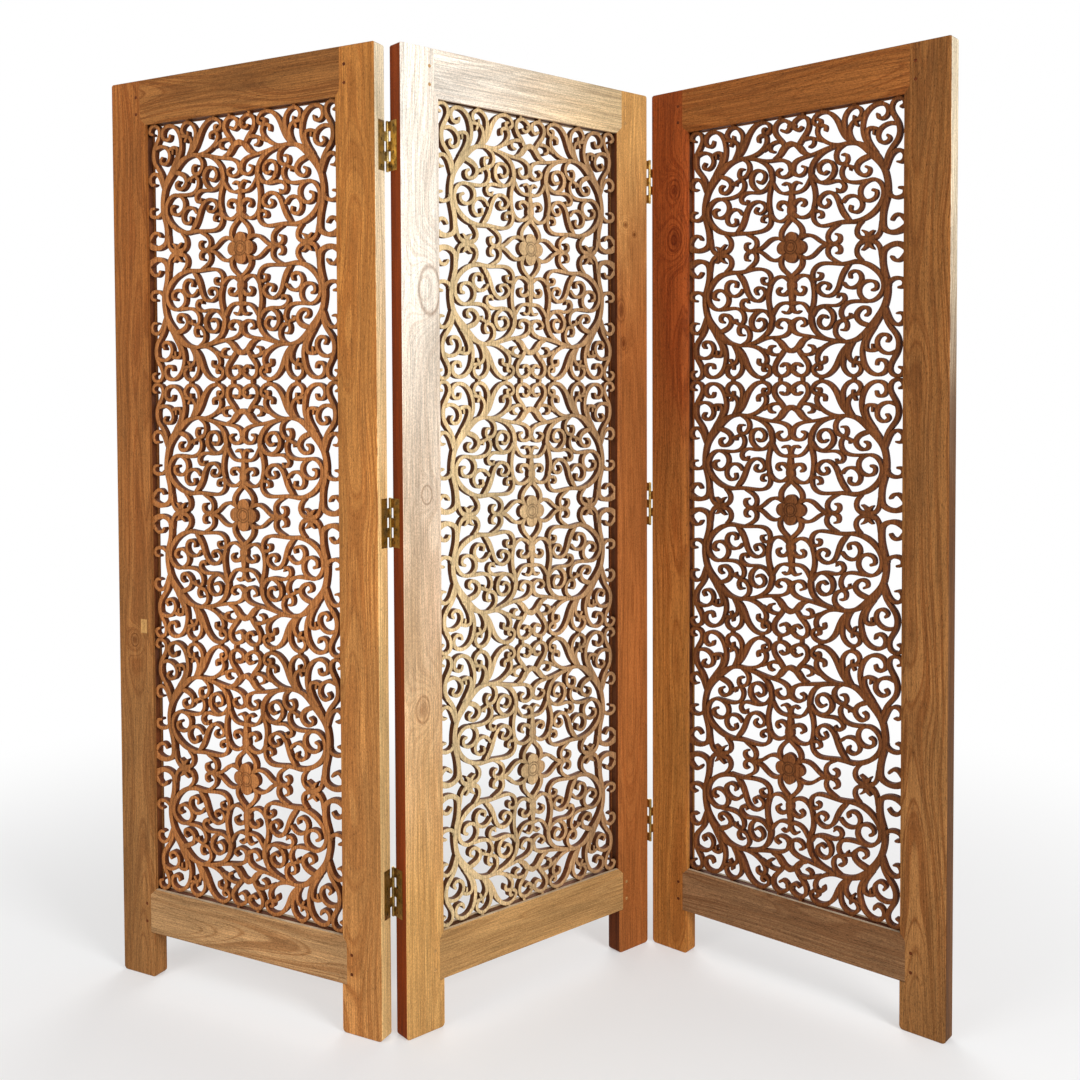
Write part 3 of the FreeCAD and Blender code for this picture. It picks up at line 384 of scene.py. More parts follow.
class Pattern:
    """A board's carving: a flower in the middle, and strokes that mirror each other round it."""

    def __init__(self, half_width, half_height):
        self.half_width = half_width
        self.half_height = half_height
        turns = math.pi / 2 + 2 * math.pi * np.arange(PETAL_COUNT) / PETAL_COUNT
        self.petals = PETAL_RING * np.stack([np.cos(turns), np.sin(turns)], 1)
        scale = np.array([half_width, half_height, half_width])
        self.strokes = []
        for shares in SCROLL_SHARES.values():
            line, radii, flips = join_mirrored(*smooth_line(np.array(shares) * scale))
            for flip in flips:
                level = LAYER_DROP * (len(self.strokes) * LAYER_STEP % 1)
                self.strokes.append(Stroke(line * flip, STROKE_SLIM * radii, level))
        self.sheets = [self.flower_sheet()]
        self.sheets += [self.stroke_sheet(stroke) for stroke in self.strokes]

    def petal_gaps(self, places):
        """Distances from each place to the petals' middles, the nearest first."""
        return np.sort(np.linalg.norm(places[:, None, :] - self.petals, axis=2), 1)

    def flower_edge(self, places):
        heart = np.linalg.norm(places, axis=1) - HEART_RADIUS
        return np.minimum(heart, self.petal_gaps(places)[:, 0] - PETAL_RADIUS)

    def flower_sheet(self):
        """The flower as a round grid, with grooves between its petals and rings about its boss."""
        span = np.linspace(-1, 1, FLOWER_CELLS + 1)
        u, v = np.meshgrid(span, span, indexing="ij")
        spots = np.stack([u * np.sqrt(1 - v ** 2 / 2), v * np.sqrt(1 - u ** 2 / 2)], 2)
        spots = spots.reshape(-1, 2)
        far = np.linalg.norm(spots, axis=1)
        ahead = spots / np.maximum(far, 1e-9)[:, None]
        along = ahead @ self.petals.T
        room = PETAL_RADIUS ** 2 - PETAL_RING ** 2 + along ** 2
        out = np.where(room > 0, along + np.sqrt(np.maximum(room, 0)), 0).max(1)
        places = spots * np.maximum(out, HEART_RADIUS)[:, None]
        gaps = self.petal_gaps(places)
        out = np.linalg.norm(places, axis=1)
        depth = np.clip(-self.flower_edge(places) / FLOWER_EDGE, 0, 1)
        # The grooves between the petals and the rings about the boss are marked for painted shade.
        mark = np.exp(-((gaps[:, 1] - gaps[:, 0]) / FLOWER_GROOVE) ** 2)
        mark *= np.clip((out - BOSS_RING) / BOSS_GROOVE, 0, 1)
        for ring in (BOSS_RADIUS, BOSS_RING):
            mark = np.maximum(mark, np.exp(-((out - ring) / BOSS_GROOVE) ** 2))
        drop = CROWN_DROP * (1 - depth) + EDGE_DROP * (1 - depth) ** 2 + GROOVE_DEPTH * mark
        drop += BOSS_DIP * np.clip(1 - (out / BUTTON_RADIUS) ** 2, 0, 1)
        return (places, drop, mark) + grid_faces(len(span), len(span))

    def others_edge(self, stroke, places):
        """How far each place lies outside the flower and all strokes but this one."""
        result = self.flower_edge(places)
        for other in self.strokes:
            meets = (other.low < stroke.high).all() and (other.high > stroke.low).all()
            if other is not stroke and meets:
                result = np.minimum(result, other.edge(places))
        return result

    def stroke_sheet(self, stroke):
        """A stroke as a strip, which sinks where it starts or ends in another one."""
        ends = stroke.line[[0, -1]]
        half_sizes = np.array([self.half_width, self.half_height])
        capped = (np.abs(ends) < half_sizes).all(1)
        points, share, along = stroke.rows(capped)
        drop = stroke.level + CROWN_DROP * share ** 2 + EDGE_DROP * share ** EDGE_SHARPNESS
        buried = self.others_edge(stroke, ends) < -JOINT_DEPTH
        for sunk, distance in zip(buried, (along, along[-1] - along)):
            if sunk:
                drop += JOINT_SINK * np.clip(1 - distance / JOINT_REACH, 0, 1)[:, None]
        places = points.reshape(-1, 2)
        drop = drop.ravel()
        drop += FLOWER_SINK * np.clip(-self.flower_edge(places) / FLOWER_EDGE, 0, 1)
        # The edge of a stroke beside another is marked for painted shade in the groove between
        # them.
        mark = np.clip((share.ravel() - GROOVE_START) / (1 - GROOVE_START), 0, 1)
        mark *= self.others_edge(stroke, places) < GROOVE_SIGHT
        return (places, drop, mark) + grid_faces(*share.shape)


def board_net(pattern, rim_reach, top_rim):
    """Places, quads, drops, marks for painted groove shade and rim edges of a board's face, about
    its flower.
    """
    rim_out = pattern.half_width + rim_reach
    rim_in = pattern.half_width + RIM_INSET
    bottom = -pattern.half_height
    top = pattern.half_height + (rim_reach if top_rim else 0)
    bars = [(rim_in, rim_out, bottom, top), (-rim_out, -rim_in, bottom, top)]
    if top_rim:
        bars.append((-rim_in, rim_in, pattern.half_height + RIM_INSET, top))
    sheets = list(pattern.sheets)
    for left, right, low, high in bars:
        corners = np.array([[left, low], [left, high], [right, low], [right, high]])
        sheets.append((corners, np.zeros(4), np.zeros(4)) + grid_faces(2, 2))
    places, drops, marks, quads, rims = [], [], [], [], []
    count = 0
    for sheet_places, sheet_drop, sheet_mark, sheet_quads, sheet_rims in sheets:
        places.append(sheet_places)
        drops.append(sheet_drop)
        marks.append(sheet_mark)
        quads.append(sheet_quads + count)
        rims.append(sheet_rims + count)
        count += len(sheet_places)
    flat = np.clip(np.concatenate(places), (-rim_out, bottom), (rim_out, top))
    outside = (np.abs(flat) - (pattern.half_width, pattern.half_height)).max(1)
    drop = np.concatenate(drops) * np.clip(1 - outside / RIM_INSET, 0, 1)
    return flat, np.concatenate(quads), drop, np.concatenate(marks), np.concatenate(rims)


def hand_sway(places, draw, half_width, half_height):
    """Small slow shifts of the pattern, as carving by eye leaves, which fade out at the edges."""
    shift = np.zeros_like(places)
    for _ in range(SWAY_WAVES):
        wave = draw.normal(0, 1, 2)
        wave *= 2 * math.pi / (draw.uniform(*SWAY_LENGTHS) * MM) / np.linalg.norm(wave)
        push = draw.normal(0, HAND_SWAY / math.sqrt(SWAY_WAVES), 2)
        shift += np.sin(places @ wave + draw.uniform(0, 2 * math.pi))[:, None] * push
    side = 1 - np.clip(np.abs(places[:, 0]) / half_width, 0, 1) ** SWAY_FADE
    level = 1 - np.clip(np.abs(places[:, 1]) / half_height, 0, 1) ** SWAY_FADE
    return places + shift * (side * level)[:, None]


def edge_keys(pairs, count):
    """One number for each edge of a mesh of count points, whichever way round its ends are."""
    pairs = np.sort(pairs.reshape(-1, 2).astype(np.int64), 1)
    return pairs[:, 0] * count + pairs[:, 1]


def board_object(panel, name, net, faces_y, centre_height, upside_down, half_sizes, seed):
    """One carved board of a panel, between its front and back faces."""
    flat, quads, drop, mark, rims = net
    flat = hand_sway(flat, np.random.default_rng(seed), *half_sizes)
    count = len(flat)
    turned = -flat if upside_down else flat
    front_y, back_y = faces_y
    height = turned[:, 1] + centre_height
    front = np.stack([turned[:, 0], front_y + drop, height], 1)
    back = np.stack([turned[:, 0], back_y - BACK_SHARE * drop, height], 1)
    walls = np.concatenate([rims[:, ::-1], rims + count], 1)
    mesh = bpy.data.meshes.new(name)
    points = np.concatenate([front, back])
    faces = np.concatenate([quads, quads[:, ::-1] + count, walls])
    mesh.vertices.add(len(points))
    mesh.vertices.foreach_set("co", points.astype(np.float32).ravel())
    mesh.loops.add(faces.size)
    mesh.loops.foreach_set("vertex_index", faces.astype(np.int32).ravel())
    mesh.polygons.add(len(faces))
    mesh.polygons.foreach_set("loop_start", np.arange(0, faces.size, 4, dtype=np.int32))
    mesh.polygons.foreach_set("use_smooth", np.ones(len(faces), bool))
    mesh.update(calc_edges=True)
    mesh.validate()
    # The marks go to the material, which darkens the grooves with them as painted shade.
    groove = mesh.attributes.new("groove", "FLOAT", "POINT")
    groove.data.foreach_set("value", np.concatenate([mark, mark]).astype(np.float32))
    edges = np.empty(len(mesh.edges) * 2, np.int32)
    mesh.edges.foreach_get("vertices", edges)
    rim_keys = edge_keys(np.concatenate([rims, rims + count]), len(points))
    sharp = mesh.attributes.new("sharp_edge", "BOOLEAN", "EDGE")
    sharp.data.foreach_set("value", np.isin(edge_keys(edges, len(points)), rim_keys))
    mesh.transform(panel.place)
    piece = bpy.data.objects.new(name, mesh)
    bpy.context.scene.collection.objects.link(piece)
    return piece


def make_boards():
    """The nine carved boards, each in the place of its CAD node."""
    centre = PANELS["centre"]
    low, high = centre.node_box("centre_panel_middle_jali")
    half_board = (high[2] - low[2]) / 2
    half_opening = centre.node_box("centre_panel_right_stile")[0][0]
    rim_reach = high[0] - half_opening
    pattern = Pattern(half_opening, half_board)
    end_net = board_net(pattern, rim_reach, True)
    middle_net = board_net(pattern, rim_reach, False)
    pieces = {}
    for panel_number, panel in enumerate(PANELS.values()):
        middle_low, middle_high = panel.node_box(f"{panel.name}_panel_middle_jali")
        middle_height = (middle_low[2] + middle_high[2]) / 2
        for number, board in enumerate(BOARD_NAMES):
            node = f"{panel.name}_panel_{board}_jali"
            piece = board_object(
                panel, f"{node}_carving", middle_net if board == "middle" else end_net,
                (middle_low[1], middle_high[1]), middle_height + (number - 1) * 2 * half_board,
                board == "lower", (half_opening, half_board), 10 * panel_number + number)
            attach(piece, panel.body)
            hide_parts(node)
            pieces[node] = piece
    return pieces


# Materials.

def linear(red, green, blue):
    """A colour written as it looks on screen, from 0 to 255, as the shader wants it."""
    shares = [value / 255 for value in (red, green, blue)]
    lights = [s / 12.92 if s <= 0.04045 else ((s + 0.055) / 1.055) ** 2.4 for s in shares]
    return (*lights, 1.0)


class Shader:
    """One material. An input may be a socket of another node or a plain value."""

    def __init__(self, name):
        self.material = bpy.data.materials.new(name)
        self.material.use_nodes = True
        self.tree = self.material.node_tree
        self.tree.nodes.clear()
        self.output = self.tree.nodes.new("ShaderNodeOutputMaterial")
        self.surface = self.tree.nodes.new("ShaderNodeBsdfPrincipled")
        self.tree.links.new(self.surface.outputs[0], self.output.inputs[0])

    def put(self, socket, value):
        if isinstance(value, bpy.types.NodeSocket):
            self.tree.links.new(value, socket)
        else:
            socket.default_value = value

    def make(self, kind, output=0, settings=(), **inputs):
        node = self.tree.nodes.new(kind)
        for key, value in dict(settings).items():
            setattr(node, key, value)
        for key, value in inputs.items():
            self.put(node.inputs[key.replace("_", " ")], value)
        return node.outputs[output]

    def calculate(self, kind, operation, values, output):
        node = self.tree.nodes.new(kind)
        node.operation = operation
        for socket, value in zip(node.inputs, values):
            self.put(socket, value)
        return node.outputs[output]

    def math(self, operation, *values):
        return self.calculate("ShaderNodeMath", operation, values, 0)

    def vector(self, operation, *values, output=0):
        return self.calculate("ShaderNodeVectorMath", operation, values, output)

    def split(self, vector):
        node = self.tree.nodes.new("ShaderNodeSeparateXYZ")
        self.put(node.inputs[0], vector)
        return node.outputs

    def join(self, x, y, z):
        return self.make("ShaderNodeCombineXYZ", X=x, Y=y, Z=z)

    def noise(self, vector, scale, detail=2.0, roughness=0.5, output=0):
        return self.make("ShaderNodeTexNoise", output, Vector=vector, Scale=scale, Detail=detail,
                         Roughness=roughness)

    def noise_along(self, place, detail, roughness):
        return self.make("ShaderNodeTexNoise", 0, dict(noise_dimensions="1D"), W=place, Scale=1.0,
                         Detail=detail, Roughness=roughness)

    def rise(self, value, low, high, to_low=0.0, to_high=1.0):
        """A smooth step from to_low at low to to_high at high."""
        return self.make("ShaderNodeMapRange", 0, dict(interpolation_type="SMOOTHSTEP"),
                         Value=value, From_Min=low, From_Max=high, To_Min=to_low, To_Max=to_high)

    def blend(self, share, first, second, mode="MIX"):
        node = self.tree.nodes.new("ShaderNodeMix")
        node.data_type = "RGBA"
        node.blend_type = mode
        self.put(node.inputs["Factor"], share)
        self.put(node.inputs[6], first)
        self.put(node.inputs[7], second)
        return node.outputs[2]


def panel_coordinates(shader, panel):
    """Places in the panel's own axes, which turn with the piece."""
    back = panel.place.inverted()
    place = shader.make("ShaderNodeTexCoord", "Object")
    return shader.make("ShaderNodeMapping", Vector=place, Location=back.translation,
                       Rotation=back.to_euler())


# Wood colours as they look in soft light, from 0 to 255.
TONES = {
    "cream": (236, 226, 212),
    "birch": (218, 192, 146),
    "straw": (214, 186, 142),
    "sapwood_and_highlight": (240, 226, 194),
    "wheat": (232, 192, 130),
    "ash": (216, 203, 176),
    "amber": (198, 151, 90),
    "oat": (178, 137, 86),
    "hazel": (184, 127, 70),
    "honey": (180, 118, 56),
    "tan": (168, 127, 88),
    "cinnamon": (166, 108, 60),
    "chestnut": (158, 94, 46),
    "dust": (172, 132, 88),
    "russet": (150, 91, 42),
    "olive": (147, 101, 56),
    "walnut": (142, 92, 46),
    "smoke": (138, 101, 68),
    "rust": (152, 74, 30),
    "dusk": (100, 66, 38),
    "cocoa": (118, 70, 36),
    "mahogany": (118, 50, 14),
    # Also the painted shade on the carving's walls and on the left-facing inner edge of the centre
    # panel's right stile.
    "deep_brown_and_shade": (96, 47, 20),
}

# The tone at the two ends of each piece: bottom and top, or left and right where it lies.
# The centre panel's paler tones are partly painted light, as it faces the key lamp, and the cream
# atop its left stile holds a painted sheen.
PIECE_TONES = {
    "left_panel_left_stile": ("olive", "russet"),
    "left_panel_right_stile": ("hazel", "honey"),
    "left_panel_top_rail": ("walnut", "walnut"),
    "left_panel_bottom_rail": ("dust", "dust"),
    "left_panel_jali": ("cinnamon", "cinnamon"),
    "left_panel_pegs": ("deep_brown_and_shade", "deep_brown_and_shade"),
    "centre_panel_left_stile": ("amber", "cream"),
    "centre_panel_right_stile": ("chestnut", "amber"),
    "centre_panel_top_rail": ("cream", "straw"),
    "centre_panel_bottom_rail": ("oat", "oat"),
    "centre_panel_jali": ("birch", "tan"),
    "centre_panel_pegs": ("oat", "oat"),
    "right_panel_left_stile": ("honey", "rust"),
    "right_panel_right_stile": ("olive", "walnut"),
    "right_panel_top_rail": ("russet", "russet"),
    "right_panel_bottom_rail": ("smoke", "smoke"),
    "right_panel_jali": ("cocoa", "cocoa"),
    "right_panel_pegs": ("deep_brown_and_shade", "deep_brown_and_shade"),
}

# How strongly the dark figure shows on each panel's wood, and what it does to the tone.
FIGURE = {"left": 0.70, "centre": 0.36, "right": 0.80}
FIGURE_TINT = (0.50, 0.34, 0.22, 1.0)
KNOT_TINT = (0.30, 0.18, 0.11, 1.0)

# How high up a stile its tone starts and ends to change, as shares of the height.
HEIGHT = 1.8
TONE_TURN = (0.15, 0.85)
TONE_TURNS = {"centre_panel_right_stile": (0.72, 1.02), "right_panel_left_stile": (0.25, 0.80)}
EDGE_TURN = (0.55, 0.95)
CLOUD_BEND = 0.35

# Half the width over which a lying piece or a board changes its tone.
SIDE_TURN = 0.24
SIDE_BEND = 0.15

# The tones of the narrow faces that look left and right, at the bottom and the top, where they
# differ, and how far a face is turned that way when these start and when they fully show.
# These tones are partly the wood's own and partly painted light: painted shade on faces that look
# left, a painted highlight on faces that look right.
LEFT_EDGES = {
    "centre_panel_left_stile": ("mahogany", "mahogany"),
    "centre_panel_right_stile": ("deep_brown_and_shade", "deep_brown_and_shade"),
}
RIGHT_EDGES = {
    "left_panel_right_stile": ("wheat", "sapwood_and_highlight"),
    "right_panel_right_stile": ("dusk", "ash"),
}
EDGE_FACING = (0.6, 0.85)

# Knots: place across and along the piece, size, how much longer than wide, and how dark inside.
KNOTS = {
    "left_panel_left_stile": [(-0.272, 0.683, 0.010, 1.3, 0.5)],
    "centre_panel_left_stile": [
        (-0.252, 1.364, 0.024, 1.8, 0.0), (-0.262, 0.992, 0.012, 1.5, 0.1),
        (-0.274, 0.601, 0.016, 1.7, 0.55)],
    "centre_panel_right_stile": [
        (0.250, 1.525, 0.008, 1.0, 0.9), (0.276, 1.507, 0.007, 1.0, 0.9),
        (0.238, 1.348, 0.013, 2.2, 0.7), (0.244, 1.280, 0.009, 1.8, 0.8)],
    "right_panel_left_stile": [
        (-0.257, 1.597, 0.015, 1.5, 0.6), (-0.257, 1.494, 0.018, 1.6, 0.75)],
}
KNOT_BEND = 0.8
KNOT_FALL = -0.35
KNOT_SWELL = 1.5
KNOT_RIM = 0.95
KNOT_RIM_SHADE = (0.0, 0.20, 0.55, 0.0)
KNOT_CORE = (0.35, 1.0)

# The light patch on the left panel's left stile.
PATCH_NODE = "left_panel_left_stile"
PATCH_PLACE = (-0.2475, 0.713)
PATCH_HALF = (8.5 * MM, 14.5 * MM)
PATCH_SHARES = (0.92, 1.0, 0.8, 0.0)

# The growth rings: their pitch, and how the pith line lies, leans and drifts.
RING_PITCH = 4.6 * MM
BROAD_PITCH = 4.5 * RING_PITCH
RING_LINE = 0.07
PITH_DEPTH = 0.07
PITH_SPREAD = 0.02
PITH_LEAN = 0.012
DRIFT_STRETCH = (1.0, 1.0, 0.28)
DRIFT_SCALE = 5.0
DRIFT_ACROSS = 0.09
DRIFT_DOWN = 0.05

# How a piece's seed moves its grain away from the others', and its pith line.
SEED_STEPS = (3.7, 1.9, 5.3)
SEED_SPANS = (11, 7, 13)
SEED_SPREAD = 2.3
SEED_LEAN = 1.7

# The wood's noises, as waves per metre across and along the grain.
FIBRE_WAVES = (420.0, 420.0, 9.0)
STREAK_WAVES = (85.0, 85.0, 1.6)
CLOUD_WAVES = (9.0, 9.0, 2.5)
PORE_WAVES = (950.0, 950.0, 130.0)
FLECK_WAVES = (620.0, 620.0, 300.0)

# What the noises do: from and to which value they change something, and from and to what.
PORE_RANGE = (0.60, 0.68)
PORE_SHADE = -0.6
LINE_SHARES = (0.3, 0.7, 0.45, 1.0)
STREAK_SHARES = (1.0, 1.5, 0.0, 0.6)
FIBRE_SHADES = (0.25, 0.75, 0.72, 1.26)
CLOUD_SHADES = (0.25, 0.75, 0.80, 1.20)
STREAK_SHADES = (0.65, 1.25, 1.12, 0.92)
FLECK_SHADES = (0.3, 0.7, 0.86, 1.26)
WALL_GRAIN_AND_SHADE_SHARES = (0.1, 0.4, 0.9, 0.0)
GROOVE_PAINTED_SHADE = -0.55
DUST_SHARES = (0.5, 0.9, 0.0, 0.6)
WOOD_ROUGHNESS = (0.6, 1.4, 0.58, 0.74)
WOOD_SPECULAR = 0.12
WOOD_IOR = 1.45
LINE_DEPTH = -0.35
PORE_DEPTH = -0.8
WOOD_BUMP = dict(Strength=0.35, Distance=0.25 * MM)


def pith_distance(s, across, depth, along, grain, middle, seed, knots):
    """How far each place lies from the pith line, which drifts slowly and bends round knots, and
    the dark marks of the knots, or None where there are none."""
    drift = s.noise(s.vector("MULTIPLY", grain, DRIFT_STRETCH), DRIFT_SCALE, 2.0, 0.5, output=1)
    drift_x, drift_y, _ = s.split(s.vector("SUBTRACT", drift, (0.5, 0.5, 0.5)))
    out = s.math("SUBTRACT", across, middle + PITH_SPREAD * math.sin(seed * SEED_SPREAD))
    out = s.math("MULTIPLY_ADD", along, PITH_LEAN * math.cos(seed * SEED_LEAN), out)
    out = s.math("MULTIPLY_ADD", drift_x, DRIFT_ACROSS, out)
    down = s.math("MULTIPLY_ADD", drift_y, DRIFT_DOWN, s.math("SUBTRACT", depth, PITH_DEPTH))
    squares = s.math("ADD", s.math("MULTIPLY", out, out), s.math("MULTIPLY", down, down))
    radius = s.math("SQRT", squares)
    marks = None
    for knot_across, knot_along, size, length, dark in knots:
        a = s.math("DIVIDE", s.math("SUBTRACT", across, knot_across), size)
        b = s.math("DIVIDE", s.math("SUBTRACT", along, knot_along), size * length)
        reach = s.vector("LENGTH", s.join(a, b, 0.0), output=1)
        reach = s.math("MULTIPLY_ADD", drift_x, KNOT_BEND, reach)
        fall = s.math("MULTIPLY", s.math("MULTIPLY", reach, reach), KNOT_FALL)
        radius = s.math("MULTIPLY_ADD", s.math("EXPONENT", fall), size * KNOT_SWELL, radius)
        rim = s.math("ABSOLUTE", s.math("SUBTRACT", reach, KNOT_RIM))
        core = s.rise(reach, *KNOT_CORE, dark, 0.0)
        mark = s.math("MAXIMUM", s.rise(rim, *KNOT_RIM_SHADE), core)
        marks = mark if marks is None else s.math("MAXIMUM", marks, mark)
    return radius, marks


def piece_tone(s, panel, node, upright, carved, x, z, cloud, normal):
    """The tone of a piece, which changes slowly along it, and of its narrow faces, partly painted
    highlight and shade.
    """
    lean = s.math("SUBTRACT", cloud, 0.5)
    rise_along = s.math("MULTIPLY_ADD", lean, CLOUD_BEND, s.math("DIVIDE", z, HEIGHT))
    tone_key = f"{panel.body}_jali" if carved else node
    first, last = (linear(*TONES[tone]) for tone in PIECE_TONES[tone_key])
    if upright and not carved:
        share = s.rise(rise_along, *TONE_TURNS.get(node, TONE_TURN))
    else:
        share = s.rise(s.math("MULTIPLY_ADD", lean, SIDE_BEND, x), -SIDE_TURN, SIDE_TURN)
    colour = s.blend(share, first, last)
    # Faces that look left get painted shade, and faces that look right a painted highlight, mixed
    # with the wood's own edge tones.
    aside = s.vector("DOT_PRODUCT", normal, panel.turn.col[0].xyz, output=1)
    for edges, side in ((LEFT_EDGES, -1.0), (RIGHT_EDGES, 1.0)):
        if node in edges:
            low_tone, high_tone = (linear(*TONES[tone]) for tone in edges[node])
            edge = s.blend(s.rise(rise_along, *EDGE_TURN), low_tone, high_tone)
            seen = s.rise(s.math("MULTIPLY", aside, side), *EDGE_FACING)
            colour = s.blend(seen, colour, edge)
    return colour


def teak(name, panel, upright, node, seed, carved=False):
    """Old teak, with growth rings about a pith line, streaks, pores, knots and edge tones that are
    partly painted light.
    """
    s = Shader(name)
    x, y, z = s.split(panel_coordinates(s, panel))
    across, along = (x, z) if upright else (z, x)
    apart = Vector([seed * step % span for step, span in zip(SEED_STEPS, SEED_SPANS)])
    grain = s.vector("ADD", s.join(across, y, along), apart)
    low, high = panel.node_box(node)
    number = 0 if upright else 2
    middle = (low[number] + high[number]) / 2
    radius, knots = pith_distance(s, across, y, along, grain, middle, seed, KNOTS.get(node, ()))

    rings = s.noise_along(s.math("DIVIDE", radius, RING_PITCH), 1.0, 0.5)
    middle_gap = s.math("ABSOLUTE", s.math("SUBTRACT", rings, 0.5))
    lines = s.rise(middle_gap, 0.0, RING_LINE, 1.0, 0.0)
    broad = s.noise_along(s.math("DIVIDE", radius, BROAD_PITCH), 1.0, 0.5)
    fibre = s.noise(s.vector("MULTIPLY", grain, FIBRE_WAVES), 1.0, 2.0, 0.6)
    streak = s.noise(s.vector("MULTIPLY", grain, STREAK_WAVES), 1.0, 3.0, 0.6)
    cloud = s.noise(s.vector("MULTIPLY", grain, CLOUD_WAVES), 1.0, 2.0, 0.5)
    pore = s.noise(s.vector("MULTIPLY", grain, PORE_WAVES), 1.0, 1.0, 0.5)
    pore = s.rise(pore, *PORE_RANGE)
    fleck = s.noise(s.vector("MULTIPLY", grain, FLECK_WAVES), 1.0, 2.0, 0.6)
    bands = s.math("ADD", streak, broad)

    # The figure and the knots darken the tone towards red, and the noises shade it.
    normal = s.make("ShaderNodeTexCoord", "Normal")
    colour = piece_tone(s, panel, node, upright, carved, x, z, cloud, normal)
    figure = FIGURE[panel.name]
    deep = s.math("MULTIPLY", lines, s.rise(cloud, *LINE_SHARES))
    deep = s.math("MAXIMUM", deep, s.rise(bands, *STREAK_SHARES))
    colour = s.blend(s.math("MULTIPLY", deep, figure), colour, FIGURE_TINT, "MULTIPLY")
    if knots is not None:
        colour = s.blend(knots, colour, KNOT_TINT, "MULTIPLY")
    shade = s.math("MULTIPLY", s.rise(fibre, *FIBRE_SHADES), s.rise(cloud, *CLOUD_SHADES))
    shade = s.math("MULTIPLY", shade, s.rise(bands, *STREAK_SHADES))
    shade = s.math("MULTIPLY", shade, s.rise(fleck, *FLECK_SHADES))
    shade = s.math("MULTIPLY", shade, s.math("MULTIPLY_ADD", pore, PORE_SHADE * figure, 1.0))

    # Darker walls, partly painted shade, and grooves darkened as painted shade in the carving,
    # dust on the bottom rails, and the light patch.
    if carved:
        # The walls go darker partly as darker end grain and partly as painted shade of the
        # recesses.
        toward = s.vector("DOT_PRODUCT", normal, panel.turn.col[1].xyz, output=1)
        facing = s.math("ABSOLUTE", toward)
        groove = s.make("ShaderNodeAttribute", "Fac", dict(attribute_name="groove"))
        colour = s.blend(s.rise(facing, *WALL_GRAIN_AND_SHADE_SHARES), colour, linear(*TONES["deep_brown_and_shade"]))
        # The grooves where strokes meet and about the flower's boss are darkened as painted shade.
        shade = s.math("MULTIPLY", shade, s.math("MULTIPLY_ADD", groove, GROOVE_PAINTED_SHADE, 1.0))
    if node.endswith("bottom_rail"):
        upward = s.split(normal)[2]
        colour = s.blend(s.rise(upward, *DUST_SHARES), colour, linear(*TONES["ash"]))
    if node == PATCH_NODE:
        patch_x = s.math("DIVIDE", s.math("SUBTRACT", x, PATCH_PLACE[0]), PATCH_HALF[0])
        patch_z = s.math("DIVIDE", s.math("SUBTRACT", z, PATCH_PLACE[1]), PATCH_HALF[1])
        far = s.math("MAXIMUM", s.math("ABSOLUTE", patch_x), s.math("ABSOLUTE", patch_z))
        colour = s.blend(s.rise(far, *PATCH_SHARES), colour, linear(*TONES["amber"]))
    grey = s.make("ShaderNodeCombineColor", Red=shade, Green=shade, Blue=shade)
    s.put(s.surface.inputs["Base Color"], s.blend(1.0, colour, grey, "MULTIPLY"))
    s.put(s.surface.inputs["Roughness"], s.rise(s.math("ADD", fibre, streak), *WOOD_ROUGHNESS))
    s.surface.inputs["IOR"].default_value = WOOD_IOR
    s.surface.inputs["Specular IOR Level"].default_value = WOOD_SPECULAR
    height = s.math("MULTIPLY_ADD", lines, LINE_DEPTH, fibre)
    height = s.math("MULTIPLY_ADD", pore, PORE_DEPTH, height)
    bump = s.make("ShaderNodeBump", Height=height, **WOOD_BUMP)
    s.put(s.surface.inputs["Normal"], bump)
    return s.material


# The metals, as bright colour, tarnish and roughness.
METALS = {
    "aged_brass": ((172, 140, 76), (92, 70, 36), 0.36),
    "pale_brass": ((190, 168, 112), (120, 98, 58), 0.36),
    "dark_screw": ((120, 98, 60), (52, 40, 26), 0.42),
}
PALE_PIECE = "left_upper_hinge_outer_leaf"

# Their noises, in waves per metre, and what these do.
PATCH_WAVES = 90.0
PIT_WAVES = 900.0
SCRATCH_WAVES = (2600.0, 2600.0, 260.0)
TARNISH_RANGE = (0.42, 0.66)
PIT_SHARES = (0.3, 0.7, 0.6, 1.0)
DULL_ROUGHNESS = 0.25
SCRATCH_DEPTH = 0.4
METAL_BUMP = dict(Strength=0.3, Distance=0.1 * MM)


def aged_metal(name):
    """Metal with dull patches, small pits and fine scratches."""
    bright, tarnish, roughness = METALS[name]
    s = Shader(name)
    place = s.make("ShaderNodeTexCoord", "Object")
    patch = s.noise(place, PATCH_WAVES, 4.0, 0.6)
    pit = s.noise(place, PIT_WAVES, 2.0, 0.6)
    scratch = s.noise(s.vector("MULTIPLY", place, SCRATCH_WAVES), 1.0, 2.0, 0.5)
    dull = s.math("MULTIPLY", s.rise(patch, *TARNISH_RANGE), s.rise(pit, *PIT_SHARES))
    s.put(s.surface.inputs["Base Color"], s.blend(dull, linear(*bright), linear(*tarnish)))
    s.surface.inputs["Metallic"].default_value = 1.0
    s.put(s.surface.inputs["Roughness"], s.math("MULTIPLY_ADD", dull, DULL_ROUGHNESS, roughness))
    height = s.math("ADD", s.math("MULTIPLY", scratch, SCRATCH_DEPTH), pit)
    bump = s.make("ShaderNodeBump", Height=height, **METAL_BUMP)
    s.put(s.surface.inputs["Normal"], bump)
    return s.material


def dress(piece, material):
    piece.data.materials.clear()
    piece.data.materials.append(material)


